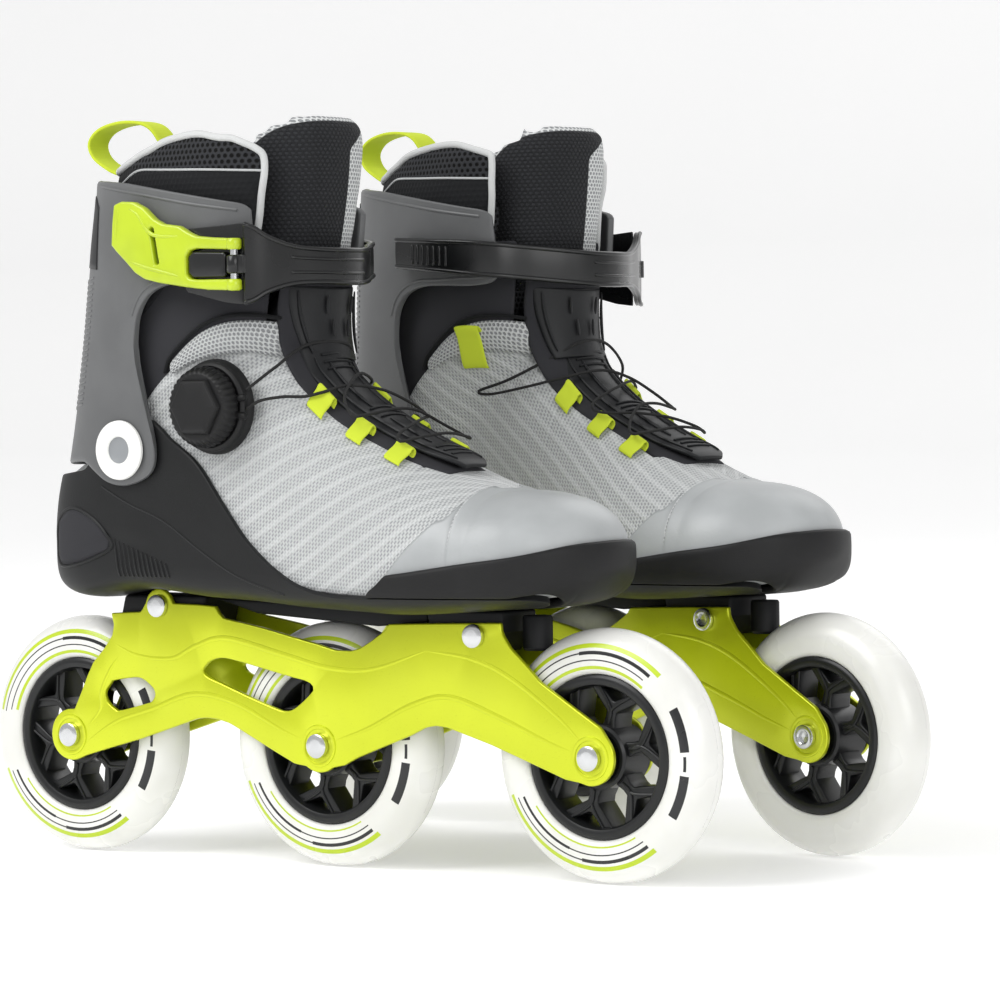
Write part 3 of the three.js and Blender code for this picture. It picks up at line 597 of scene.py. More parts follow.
def places_of(mesh: bpy.types.Mesh) -> Array:
    """Return the places of a mesh's points."""
    places = np.zeros(len(mesh.vertices) * 3)
    mesh.vertices.foreach_get("co", places)
    return places.reshape(-1, 3)


def chart_points(mesh: bpy.types.Mesh, name: str, chart: Array) -> None:
    """Give each point of a mesh its flat coordinates, in a new layer.

    Args:
        mesh: The mesh.
        name: The layer's name.
        chart: Two flat coordinates for each point.
    """
    corners = np.zeros(len(mesh.loops), np.int32)
    mesh.loops.foreach_get("vertex_index", corners)
    layer = mesh.uv_layers.new(name=name)
    layer.data.foreach_set("uv", chart[corners].astype(np.float32).ravel())


def mesh_of(name: str, grids: Iterable[Grid]) -> bpy.types.Mesh:
    """Join grids of points into one mesh, leaving the points where they meet unwelded.

    Args:
        name: The mesh's name.
        grids: The sheets it is made of, in millimetres.

    Returns:
        The mesh, in millimetres.
    """
    points, charts, faces, count = [], [], [], 0
    for grid in grids:
        rows, columns = grid.points.shape[:2]
        points.append(grid.points.reshape(-1, 3))
        charts.append(grid.with_chart().reshape(-1, 2))
        number = count + np.arange(rows * columns).reshape(rows, columns)
        corners = (number[:-1, :-1], number[:-1, 1:], number[1:, 1:], number[1:, :-1])
        faces += together(*corners).reshape(-1, 4).tolist()
        count += rows * columns
    mesh = bpy.data.meshes.new(name)
    mesh.from_pydata(np.vstack(points).tolist(), [], faces)
    chart_points(mesh, "Chart", np.vstack(charts))
    return mesh


def tidied(mesh: bpy.types.Mesh, weld: float = 0.02) -> bpy.types.Mesh:
    """Weld a mesh's doubled points, drop its empty faces and turn its faces outwards."""
    work = bmesh.new()
    work.from_mesh(mesh)
    bmesh.ops.remove_doubles(work, verts=work.verts, dist=weld)
    bmesh.ops.dissolve_degenerate(work, edges=work.edges, dist=weld / 2)
    bmesh.ops.recalc_face_normals(work, faces=work.faces)
    work.to_mesh(mesh)
    work.free()
    return mesh


def lathe(profile: Sequence[Sequence[float]], sides: int, centre: tuple[float, float] = (0.0, 0.0)) -> Grid:
    """Turn a profile round a Y axis.

    Args:
        profile: Its (radius, y) points.
        sides: How many faces go round.
        centre: The axis' (x, z).

    Returns:
        The sheet, with (degrees, signed radius) as its flat coordinates.
    """
    turn = np.radians(np.linspace(0, 360, sides + 1))
    radius, y = np.array(profile, float).T
    points = together(centre[0] + radius[:, None] * np.cos(turn), y[:, None],
                      centre[1] + radius[:, None] * np.sin(turn))
    signed = np.where(y < 0, radius, -radius)
    return Grid(points, together(np.degrees(turn)[None, :], signed[:, None]))


def upright(profile: Sequence[Sequence[float]], sides: int,
            foot: tuple[float, float, float]) -> bpy.types.Mesh:
    """Turn a (radius, height) profile round an upright axis.

    Args:
        profile: Its points.
        sides: How many faces go round.
        foot: The place from which its heights count.

    Returns:
        The mesh.
    """
    mesh = mesh_of("upright", [lathe(profile, sides)])
    mesh.transform(Matrix.Translation(foot) @ Matrix.Rotation(math.pi / 2, 4, "X"))
    return mesh


def tube(path: Array, radius: Union[float, Array], sides: int = 8, flat: float = 1.0,
         up: Optional[Sequence[float]] = None) -> list[Grid]:
    """Draw a bar along a path, with round or flattened section and rounded-off ends.

    Args:
        path: The points that it follows.
        radius: Its half width, one for all or one for each point.
        sides: How many faces go round.
        flat: Its thickness as a share of its width.
        up: The direction of its thickness, if it has one.

    Returns:
        The sheets.
    """
    path = np.asarray(path, float)
    radius = np.broadcast_to(np.asarray(radius, float), len(path))
    ahead = np.roll(path, -1, 0) - np.roll(path, 1, 0)
    ahead[0], ahead[-1] = path[1] - path[0], path[-1] - path[-2]
    ahead /= np.linalg.norm(ahead, axis=1, keepdims=True)
    normal = np.array(up if up is not None else (0.0, 0.0, 1.0), float)
    if up is None and abs(ahead[0] @ normal) > 0.9:
        normal = np.array((1.0, 0.0, 0.0))
    normals = []
    for direction in ahead:
        base = np.array(up, float) if up is not None else normal
        normal = base - direction * (base @ direction)
        normal /= np.linalg.norm(normal)
        normals.append(normal)
    normals = np.array(normals)
    across = np.cross(ahead, normals)
    turn = np.linspace(0, 2 * math.pi, sides + 1)
    ring = (np.cos(turn)[None, :, None] * across[:, None]
            + flat * np.sin(turn)[None, :, None] * normals[:, None])
    points = path[:, None] + radius[:, None, None] * ring
    along = lengths(path)
    chart = together(along[:, None], (turn * radius.mean())[None, :])
    ends = []
    for i, way in ((0, -1), (-1, 1)):
        bulge = path[i] + way * ahead[i] * radius[i] * min(flat, 1.0) * 0.5
        rim = points[i]
        inner = path[i] + 0.55 * (rim - path[i]) + way * ahead[i] * radius[i] * min(flat, 1.0) * 0.4
        cap = np.stack([rim, inner, np.broadcast_to(bulge, rim.shape)])
        ends.append(Grid(cap, np.stack([chart[i], chart[i], chart[i]])))
    return [Grid(points, chart), *ends]


def slab(outline: Array, low: Union[float, Array], high: Union[float, Array],
         holes: Sequence[Array] = (), edge: float = 0.0) -> bpy.types.Mesh:
    """Make a plate from a side view outline, between two values of y, with rounded-off edges.

    Args:
        outline: The (x, z) points round it.
        low: Its lower y.
        high: Its higher y.
        holes: The (x, z) points round each window.
        edge: How wide its bevels are.

    Returns:
        The closed mesh.
    """
    work = bmesh.new()
    loops = []
    for line in (outline, *holes):
        corners = [work.verts.new((x, low, z)) for x, z in line]
        loops.append([work.edges.new(pair) for pair in zip(corners, corners[1:] + corners[:1])])
    bmesh.ops.triangle_fill(work, edges=[e for loop in loops for e in loop], use_beauty=True,
                            use_dissolve=False)
    made = bmesh.ops.extrude_face_region(work, geom=work.faces[:] + work.edges[:] + work.verts[:])
    moved = [g for g in made["geom"] if isinstance(g, bmesh.types.BMVert)]
    bmesh.ops.translate(work, verts=moved, vec=(0, high - low, 0))
    bmesh.ops.recalc_face_normals(work, faces=work.faces)
    if edge:
        sharp = [e for e in work.edges if len(e.link_faces) == 2 and e.calc_face_angle() > 1.0]
        bmesh.ops.bevel(work, geom=sharp, offset=edge, segments=3, profile=0.5, affect="EDGES")
    mesh = bpy.data.meshes.new("slab")
    work.to_mesh(mesh)
    work.free()
    chart_points(mesh, "Chart", places_of(mesh)[:, [0, 2]])
    return mesh


# ---- the boot's form --------------------------------------------------------------------------------------------
SOLE = 114.6
"""Height of the boot's underside over the ground at the middle wheel. Heights of the boot count from here."""
FAN = 75.0
"""Distance round the foot that the heel, and each half of the toe, turn through."""
PITCH = 145.6
AXLES = (("rear", -PITCH), ("middle", 0.0), ("front", PITCH))
"""The wheels' names and places along the skate."""


@dataclass(frozen=True)
class Foot:
    """The foot part: a heel and a toe that fan round a point, and straight sections between them."""

    underside: Smooth = Smooth(
        (-149, 9), (-141, 3.5), (-122, 2.4), (-106, 5), (-91, 7), (-74, 6), (-51, 3.6), (-23, 2.2), (5, 0),
        (33, -1.2), (60, -2), (103, 0.6), (134, 3), (146, 9))
    half_width: Smooth = Smooth(
        (-149, 8), (-146.5, 17), (-140, 26.5), (-127, 33.5), (-110, 37), (-85, 38), (-50, 38.5), (-15, 40),
        (20, 43), (50, 46.5), (75, 47.5), (100, 44.5), (120, 37), (133, 29), (141, 19.5), (145.5, 8))
    top: Smooth = Smooth(
        (-149, 36), (-140, 62), (-127, 74), (-110, 88), (-75, 118), (-38, 129), (-15, 123), (5, 104),
        (20, 91), (50, 74), (75, 62), (100, 53.5), (120, 48.5), (133, 44.5), (141, 39), (145.5, 29))
    drift: Smooth = Smooth((-20, 0), (60, 2), (120, 4))
    heel: tuple[float, float] = (-98.0, 51.5)
    toe: tuple[float, float] = (98.0, 48.0)
    widest: float = 21.0
    sole: float = 5.5

    def column(self, place: Array, grow: float) -> tuple[Array, ...]:
        """Work out where sections stand.

        Args:
            place: Distances in millimetres round the foot from the heel's middle, negative on the outer side.
            grow: How far outside the foot's own surface.

        Returns:
            The centre's x, the reach along x and y, and the x at the foot's widest line.
        """
        straight = self.toe[0] - self.heel[0]
        side = np.where(place < 0, -1.0, 1.0)
        run = np.abs(place)
        heel_turn = np.clip(run / FAN, 0, 1) * math.pi / 2
        toe_turn = np.clip((run - FAN - straight) / FAN, 0, 1) * math.pi / 2
        centre = np.clip(self.heel[0] + run - FAN, self.heel[0], self.toe[0])
        width = self.half_width(centre) + grow
        heel_power, toe_power = 2 / 2.3, 2 / 1.95
        along = (-(self.heel[1] + grow) * np.cos(heel_turn) ** heel_power
                 + (self.toe[1] + grow) * np.sin(toe_turn) ** toe_power)
        along = np.where((run > FAN) & (run < FAN + straight), 0.0, along)
        spread = np.sin(heel_turn) ** heel_power * np.cos(toe_turn) ** toe_power
        return centre, along, side * width * spread, centre + along

    def at(self, place: Array, turn: Array, grow: float = 0.0) -> Array:
        """Find points on the foot.

        Args:
            place: Distances round the foot from the heel's middle, negative on the outer side.
            turn: The angle up the section, from -90 degrees under the foot over 0 at its widest line to 90
                on top.
            grow: How far outside the foot's own surface.

        Returns:
            The points.
        """
        place, turn = np.broadcast_arrays(np.asarray(place, float), np.radians(np.asarray(turn, float)))
        centre, along, across, rim = self.column(place, grow)
        low = turn < 0
        power = np.where(low, 0.5, 2 / 2.4)
        share = np.clip(np.cos(turn), 0, 1) ** power
        rise = np.abs(np.sin(turn)) ** power
        x = centre + along * share
        y = self.drift(centre) + across * share
        depth = self.widest - self.sole + grow
        height = self.top(centre) + grow - self.underside(rim) - self.widest
        z = np.where(low, self.underside(x) + self.widest - depth * rise,
                     self.underside(rim) + self.widest + height * rise)
        return np.stack([x, y, z], axis=-1)

    def turn_at(self, place: Array, height: Array, grow: float = 0.0) -> Array:
        """Find the angle up the section at which the foot reaches a height over the boot's underside."""
        centre, _, _, rim = self.column(np.asarray(place, float), grow)
        middle = self.underside(rim) + self.widest
        up = np.clip((height - middle) / (self.top(centre) + grow - middle), 0, 1) ** 1.2
        down = np.clip((middle - height) / (self.widest - self.sole + grow), 0, 1) ** 2
        return np.degrees(np.where(height > middle, np.arcsin(up), -np.arcsin(down)))


@dataclass(frozen=True)
class Leg:
    """The leg part: level ovals that lean forward and a little to the inner side."""

    middle: Smooth = Smooth((20, -98), (75, -80), (120, -67.5), (165, -61), (196, -56.5), (225, -55))
    half_length: Smooth = Smooth((20, 48), (75, 54), (120, 59.5), (165, 61), (196, 61.5), (225, 62))
    half_width: Smooth = Smooth((20, 37), (75, 39.5), (120, 41.5), (165, 43), (196, 44), (225, 44.5))
    lean: Smooth = Smooth((40, 0), (190, 5))
    power: float = 2.3

    def at(self, turn: Array, height: Array, grow: float = 0.0) -> Array:
        """Find points on the leg.

        Args:
            turn: The angle round it in degrees, 0 at the rear, negative on the outer side.
            height: The height over the boot's underside.
            grow: How far outside the leg's own surface.

        Returns:
            The points.
        """
        turn, height = np.broadcast_arrays(np.radians(np.asarray(turn, float)), np.asarray(height, float))
        c, s, power = np.cos(turn), np.sin(turn), 2 / self.power
        x = self.middle(height) - (self.half_length(height) + grow) * np.sign(c) * np.abs(c) ** power
        y = self.lean(height) + (self.half_width(height) + grow) * np.sign(s) * np.abs(s) ** power
        return np.stack([x, y, height], axis=-1)

    def turn_at(self, x: Array, height: Array, grow: float = 0.0) -> Array:
        """Return the angle from the rear at which the leg passes x at a height."""
        along = (self.middle(height) - x) / (self.half_length(height) + grow)
        along = np.clip(along, -1, 1)
        return np.degrees(np.arccos(np.sign(along) * np.abs(along) ** (self.power / 2)))


FOOT = Foot()
LEG = Leg()


def over_sole(points: Array) -> Array:
    """Return points whose heights count from the ground instead of from the boot's underside."""
    return points + np.array([0, 0, SOLE])


# ---- pieces -----------------------------------------------------------------------------------------------------
@dataclass(frozen=True)
class Skate:
    """One skate's place in the pair, and the way that its pieces are set in it."""

    side: Side

    @property
    def mirrored(self) -> bool:
        """Tell whether this is the left skate, which mirrors the right one."""
        return self.side is Side.LEFT

    @property
    def matrix(self) -> Matrix:
        """Return the step from this skate's own millimetres to the part's metres."""
        joint = next(j for j in frame["joints"] if j["name"] == f"{self.side.value}_middle_wheel_spin")
        axis = Vector(joint["axis"])
        axis *= 1 if axis.y > 0 else -1
        origin = Vector((joint["pos_m"][0], joint["pos_m"][1], 0))
        across = -axis if self.mirrored else axis
        ahead = axis.cross(Vector((0, 0, 1)))
        turn = Matrix((ahead, across, Vector((0, 0, 1)))).transposed().to_4x4()
        return Matrix.Translation(origin) @ turn @ TO_METRES

    def name(self, piece: str) -> str:
        """Return a piece's or a body's full name."""
        return f"{self.side.value}_{piece}"

    def point(self, place: Sequence[float]) -> tuple[float, float, float]:
        """Return a place of this skate in the part's metres."""
        return tuple(self.matrix @ Vector(place))

    def add(self, name: str, mesh: bpy.types.Mesh, finish: Union[Finish, Sequence[Finish]], body: str,
            slot: str, replaces: Sequence[str] = (), smooth: float = 40.0) -> bpy.types.Object:
        """Set a piece in the skate.

        Args:
            name: The piece's name without the side.
            mesh: Its mesh in the skate's millimetres.
            finish: Its finish, or one for each material number of its faces.
            body: The body it rides on, without the side.
            slot: The record's material slot.
            replaces: The nodes that it stands for, without the side.
            smooth: The angle over which an edge stays sharp.

        Returns:
            The new object.
        """
        mesh.transform(self.matrix)
        if self.mirrored:
            mesh.flip_normals()
        mesh.name = self.name(name)
        for each in (finish if isinstance(finish, (list, tuple)) else [finish]):
            mesh.materials.append(each.material())
        mesh.shade_smooth()
        mesh.set_sharp_from_angle(angle=math.radians(smooth))
        piece = bpy.data.objects.new(self.name(name), mesh)
        bpy.context.scene.collection.objects.link(piece)
        if body:
            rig.ride(piece, self.name(body))
        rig.slot(piece, slot)
        if replaces:
            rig.replaces(piece, *(self.name(node) for node in replaces))
        LOG.info("%s: %d faces", piece.name, len(mesh.polygons))
        return piece


def thicken(piece: bpy.types.Object, thickness: float, levels: int = 1, outward: float = -1.0,
            rim: float = 0.0) -> None:
    """Give a sheet its wall, rounded off.

    Args:
        piece: The sheet.
        thickness: The wall in millimetres.
        levels: How often it is subdivided.
        outward: -1 grows the wall inwards and 1 outwards.
        rim: The crease along its rim, from 0 to 1.
    """
    wall = piece.modifiers.new("wall", "SOLIDIFY")
    wall.thickness = thickness / 1000
    wall.offset = outward
    wall.edge_crease_rim = rim
    if levels:
        round_off(piece, levels)


def round_off(piece: bpy.types.Object, levels: int) -> None:
    """Subdivide a piece smoothly."""
    finer = piece.modifiers.new("finer", "SUBSURF")
    finer.levels = levels
    finer.render_levels = levels


def joined(meshes: Sequence[bpy.types.Mesh]) -> bpy.types.Mesh:
    """Join meshes into the first one, keeping each one's number as the material number of its faces."""
    work = bmesh.new()
    for mesh in meshes:
        work.from_mesh(mesh)
    first = meshes[0]
    work.to_mesh(first)
    work.free()
    return first


def numbered(mesh: bpy.types.Mesh, number: int) -> bpy.types.Mesh:
    """Give all faces of a mesh one material number."""
    mesh.polygons.foreach_set("material_index", np.full(len(mesh.polygons), number, np.int32))
    return mesh


# ---- finishes in use --------------------------------------------------------------------------------------------
LIME_METAL = Anodised("lime_anodised", tint("D4DF20"))
POLISHED_STEEL = Steel("polished_steel")
DARK_STEEL = Steel("dark_steel", tint("50545A"), 0.35)
URETHANE = Urethane("white_urethane")
HUB_BLACK = Plastic("hub_black", tint("151617"), 0.38, 0.00002, 700.0, 0.2)
SHELL_BLACK = Plastic("shell_black", tint("111213"), 0.5, 0.00006, 1300.0)
BLOCK_BLACK = Plastic("block_black", tint("131416"), 0.6)
CUFF_GREY = Plastic("cuff_grey", tint("5F6061"), 0.42, 0.00003, 1500.0, 0.1)
DARK_TRIM = Plastic("dark_trim", tint("17181A"), 0.45, 0.00004, 1200.0)
RAND_RUBBER = Plastic("rand_rubber", tint("141415"), 0.55, 0.00007, 1700.0)
GLOSS_BLACK = Plastic("gloss_black", tint("0E0F10"), 0.28, 0.00001, 600.0, 0.4)
KNOB_RUBBER = Plastic("knob_rubber", tint("121213"), 0.5, 0.00005, 1500.0)
LEVER_LIME = Plastic("lever_lime", tint("B3C722"), 0.3, 0.00001, 500.0, 0.5)
PIVOT_WHITE = Plastic("pivot_white", tint("EFEFEC"), 0.35)
PIVOT_GREY = Plastic("pivot_grey", tint("8E9194"), 0.4)


# ---- wheels -----------------------------------------------------------------------------------------------------
@dataclass
class Wheel:
    """A cast tyre on a moulded six-spoke hub with two bearings."""

    skate: Skate
    place: str
    middle: float
    radius: float = 55.0
    width: float = 24.0
    hub: float = 35.5
    hub_width: float = 21.0
    rim: float = 5.0
    core: float = 14.0
    spokes: int = 6
    bore: float = 6.2
    turn: float = 15.0

    def tyre(self) -> bpy.types.Mesh:
        """Make the tyre: a rounded tread that runs down flat sides to its seat on the hub."""
        seat = self.hub + 0.3
        side = self.hub_width / 2
        half = self.width / 2
        crown = [(self.radius - 13 + 13 * math.cos(a), half * math.sin(a))
                 for a in np.radians(np.linspace(-82, 82, 29))]
        flank = [(seat + 0.9, -side - 0.15), (38.0, -side - 0.75), (40.5, -half + 0.3)]
        profile = [(seat, -side + 0.8), *flank, *crown, *((r, -y) for r, y in reversed(flank)),
                   (seat, side - 0.8), (seat, 0), (seat, -side + 0.8)]
        return tidied(mesh_of("tyre", [lathe(profile, 96, (self.middle, self.radius))]))

    def spoke(self) -> bpy.types.Mesh:
        """Make one Y-shaped spoke along +X from its foot in the core to its arms in the rim."""
        foot, tip = self.core - 1.2, self.hub - self.rim + 0.8
        fork = 21.5
        spread = math.radians(19)

        def arm(side: int, turn: float) -> tuple[float, float]:
            """Return a corner where an arm meets the rim."""
            return tip * math.cos(spread + turn), side * tip * math.sin(spread + turn)

        outline = [(foot, -3.4), (17.5, -2.4), (fork - 1.5, -2.6), arm(-1, 0.1), arm(-1, -0.07),
                   (fork + 4.2, -1.4), (fork + 3.2, 0), (fork + 4.2, 1.4), arm(1, -0.07), arm(1, 0.1),
                   (fork - 1.5, 2.6), (17.5, 2.4), (foot, 3.4)]
        return slab(resample(outline, 60), -7.2, 7.2, edge=0.9)

    def rib(self) -> list[bpy.types.Mesh]:
        """Make the raised ridges on both faces of a spoke."""
        lines = []
        for face in (-7.3, 7.3):
            for sign in (-1, 1):
                path = [(15.0, face, 0), (21.5, face, sign * 0.4), (30.6, face, sign * 9.4)]
                lines.append(mesh_of("rib", tube(resample(path, 14, True), 0.75, 8)))
        return lines

    def hub_mesh(self) -> bpy.types.Mesh:
        """Make the hub's rim, barrel and spokes."""
        half = self.hub_width / 2
        inner = self.hub - self.rim
        rim = [(inner, -half + 1.4), (inner + 0.7, -half + 0.3), (inner + 2.3, -half - 0.35),
               (self.hub - 0.9, -half), (self.hub, -half + 0.7), (self.hub, half - 0.7),
               (self.hub - 0.9, half), (inner + 2.3, half + 0.35), (inner + 0.7, half - 0.3),
               (inner, half - 1.4), (inner, -half + 1.4)]
        core = [(11.0, -half + 0.6), (11.4, -half), (12.9, -half), (self.core, -half + 1.0),
                (self.core, half - 1.0), (12.9, half), (11.4, half), (11.0, half - 0.6), (11.0, -half + 0.6)]
        centre = (self.middle, self.radius)
        parts = [mesh_of("rim", [lathe(rim, 96, centre)]), mesh_of("core", [lathe(core, 48, centre)])]
        for i in range(self.spokes):
            turn = Matrix.Rotation(-math.radians(self.turn + i * 360 / self.spokes), 4, "Y")
            for part in (self.spoke(), *self.rib()):
                part.transform(Matrix.Translation((self.middle, 0, self.radius)) @ turn)
                parts.append(part)
        return tidied(joined(parts), 0.001)

    def bearing(self, side: int) -> list[bpy.types.Mesh]:
        """Make a bearing's outer ring and its shield."""
        face = side * (self.hub_width / 2 - 0.5)
        ring = [(self.bore, face), (7.6, face), (7.8, face - side * 0.35), (9.4, face - side * 0.35),
                (9.6, face), (10.7, face), (10.9, face - side * 0.5), (10.9, face - side * 6),
                (self.bore, face - side * 6), (self.bore, face)]
        ring = ring if side < 0 else ring[::-1]
        return [mesh_of("bearing", [lathe(ring, 48, (self.middle, self.radius))])]

    def build(self) -> None:
        """Make the wheel and set it in the skate."""
        body = f"wheel_{self.place}"
        self.skate.add(f"cast_tyre_{self.place}", self.tyre(), URETHANE, body, "urethane",
                       [f"tyre_{self.place}"], 50)
        self.skate.add(f"spoked_hub_{self.place}", self.hub_mesh(), HUB_BLACK, body, "black_plastic",
                       [f"hub_{self.place}"], 35)
        bearings = joined([*self.bearing(-1), *self.bearing(1)])
        self.skate.add(f"bearings_{self.place}", tidied(bearings), DARK_STEEL, body, "steel", smooth=30)


# ---- frame ------------------------------------------------------------------------------------------------------
@dataclass
class Frame:
    """The two side plates with their windows, the webs between them and the raised ridges."""

    skate: Skate
    inner: float = 13.6
    outer: float = 16.2
    boss: float = 12.0
    axle: float = 55.0
    tab: float = 8.0
    rear_bolt: tuple[float, float] = (-91.2, SOLE + 1.4)
    front_bolt: tuple[float, float] = (86.1, SOLE - 8.6)

    def arc(self, centre: tuple[float, float], radius: float, start: float, end: float, steps: int) -> list:
        """Return points on a circle in the side view, between two angles in degrees."""
        angles = np.radians(np.linspace(start, end, steps + 1))
        return [(centre[0] + radius * math.cos(a), centre[1] + radius * math.sin(a)) for a in angles]

    def near(self, centre: tuple[float, float], *steps: tuple[float, float]) -> list:
        """Return the points at (x, z) steps from a centre."""
        return [(centre[0] + dx, centre[1] + dz) for dx, dz in steps]

    def outline(self) -> Array:
        """Return the plate's outline: three axle bosses joined by arches, and wings up to the boot."""
        rear, middle, front = ((x, self.axle) for _, x in AXLES)
        s = SOLE
        sections = [
            [(-120, s - 2.4), (-118.6, s - 8), (-119.7, s - 12.6)],
            self.near(rear, (21, 40.8), (14, 34), (10.5, 28), (7, 21)),
            self.arc(rear, self.boss, 80, 290, 22),
            self.near(rear, (9, -9.4), (20.4, -6.3), (41.7, -0.7), (69.8, 8), (76, 9.9), (82, 10.4)),
            self.near(middle, (-57.6, 9.9), (-51, 8.3), (-44.9, 5.6), (-26, -3.2), (-14, -8.6)),
            self.arc(middle, self.boss, 232, 308, 9),
            self.near(middle, (14, -8.2), (21.1, -4.6), (50.5, 6.3), (58.7, 10.1)),
            self.near(front, (-81.5, 11.1), (-75, 10.5), (-68, 8.5), (-52, 3.9), (-26, -5.1), (-13, -9.7)),
            self.arc(front, self.boss, 245, 400, 16),
            self.near(front, (5.2, 13.3), (-7.4, 20.9), (-25.4, 32), (-32, 38.3), (-40.8, 46.2)),
            [(102, s - 9.6), (100.2, s - 6.5), (99.8, s - 2.6), (67.8, s - 3.4), (39.4, s - 4.3),
             (37.7, s - 7), (30.5, s - 11.6), (23.8, s - 15.3), (18.2, s - 16.7), (9.9, s - 16.5),
             (1.5, s - 14.4), (-15.4, s - 10.8), (-32.4, s - 7.1), (-53.7, s - 3.5), (-56.5, s - 0.8),
             (-58, s + 1.8), (-67, s + 2.4)],
            self.arc(self.rear_bolt, self.tab, 10, 168, 14),
            [(-102, s - 1.4)],
        ]
        return np.array([point for section in sections for point in section])

    def windows(self) -> list[Array]:
        """Return the short window over the rear wheel and the long one over the middle wheel."""
        short = [(-120.2, 80.7), (-112.3, 82), (-103.3, 82.5), (-96.6, 78.8), (-94.6, 75.6), (-96.4, 72.1),
                 (-101, 70.6), (-115, 67.3), (-118.5, 67.7), (-123.3, 71.3), (-124.4, 75.5)]
        long = [(-66.2, 87.4), (-62, 91.2), (-54.7, 92.9), (-44.3, 91.4), (-32.8, 89), (-15.8, 85.4),
                (-7.3, 83.8), (-3.6, 82), (-3.4, 79.2), (-12.7, 71.8), (-18.4, 70), (-24.6, 71.2),
                (-38.8, 75.7), (-53.2, 80.7), (-63.6, 84.3)]
        return [closed(line, 72, True) for line in (short, long)]

    def holes(self) -> list[Array]:
        """Return the axle and bolt holes."""
        axles = [np.array(self.arc((x, self.axle), 4.3, 0, 345, 23)) for _, x in AXLES]
        bolts = [np.array(self.arc(bolt, 3.3, 0, 340, 17)) for bolt in (self.rear_bolt, self.front_bolt)]
        return [*axles, *bolts]

    def ridges(self, side: int) -> list[bpy.types.Mesh]:
        """Make the soft ridges that run over a plate's outer face, and the rings round the axles."""
        face = side * self.outer
        lines = [
            ([(-136, 52), (-118, 62), (-96, 68.6), (-72, 76), (-48, 73), (-22, 62), (-10, 58)], 1.3),
            ([(-118, 98), (-104, 93), (-84, 92), (-70, 98), (-52, 102), (-20, 95.5), (6, 90), (30, 90),
              (60, 99)], 1.4),
            ([(10, 58), (28, 64), (52, 75), (72, 79), (96, 72), (122, 62), (136, 57.5)], 1.3),
            ([(60, 99), (84, 96), (104, 88.5), (128, 73), (141, 62)], 1.2),
            ([(-134, 60), (-127, 68), (-126.5, 76), (-121, 86), (-116, 92)], 1.1),
        ]
        made = []
        for path, wide in lines:
            spread = resample(path, 50, True)
            taper = tapered(wide, 50, 0.06)
            at = np.stack([spread[:, 0], np.full(len(spread), face - side * 0.12), spread[:, 1]], axis=1)
            made.append(mesh_of("ridge", tube(at, taper, 10, 0.42, (0, side, 0))))
        for _, x in AXLES:
            ring = [(9.6, face - side * 0.2), (9.3, face + side * 0.45), (8.4, face + side * 0.6),
                    (7.6, face + side * 0.3), (7.4, face - side * 0.2)]
            made.append(mesh_of("ring", [lathe(ring if side > 0 else ring[::-1], 64, (x, self.axle))]))
        return made

    def webs(self) -> list[bpy.types.Mesh]:
        """Make the cross walls that tie the plates together."""
        made = []
        for x0, x1, z0, z1 in ((-97, -62, SOLE - 21, SOLE - 16), (54, 90, SOLE - 27, SOLE - 22.5)):
            made.append(slab(box(x0, x1, z0, z1), -self.inner - 0.4, self.inner + 0.4, edge=0.6))
        return made

    def build(self) -> None:
        """Make the frame and set it in the skate."""
        outline = closed(self.outline(), 420)
        holes = [*self.windows(), *self.holes()]
        plates = [slab(outline, low, high, holes, 0.75)
                  for low, high in ((-self.outer, -self.inner), (self.inner, self.outer))]
        ridges = [mesh for side in (-1, 1) for mesh in self.ridges(side)]
        body = joined([*plates, *self.webs(), *ridges])
        self.skate.add("frame_plates", body, LIME_METAL, "chassis", "lime_metal", ["frame"], 32)


# ---- soft finishes ----------------------------------------------------------------------------------------------
@dataclass(frozen=True)
class Knit(Finish):
    """A knitted upper: columns of small loops that lean into chevrons, with raised diagonal ribs."""

    light: Colour = tint("C2C4C4")
    dark: Colour = tint("95989A")
    pitch: float = 1.8

    def build(self) -> bpy.types.Material:
        """Make the material."""
        graph = Graph(self.name)
        u, v = graph.chart()
        wave = graph.noise(graph.place(), 60.0)
        rib = ((u * 0.55 + v * 0.85 + wave * 1.2) * (2 * math.pi / 7.5)).sine().ramp(0.1, 0.9)
        lean = abs(u.repeat(self.pitch) - self.pitch / 2)
        loops = ((v + lean * 0.9) * (2 * math.pi / self.pitch)).sine()
        column = (u * (2 * math.pi / self.pitch)).sine()
        stitch = (loops * 0.5 + column * 0.5).ramp(-0.75, 0.35)
        colour = graph.mix(stitch, self.dark, self.light)
        colour = graph.mix(rib * 0.45, colour, tint("D6D8D8"))
        colour = graph.mix(graph.noise(graph.place(), 22.0).ramp(0.35, 0.75) * 0.25, colour, tint("A9ACAC"))
        return graph.finish(colour, 0.82 + (stitch - 0.5) * 0.1, stitch * 0.6 + rib * 0.6, 0.0006,
                            Sheen_Weight=0.2, Sheen_Roughness=0.5)


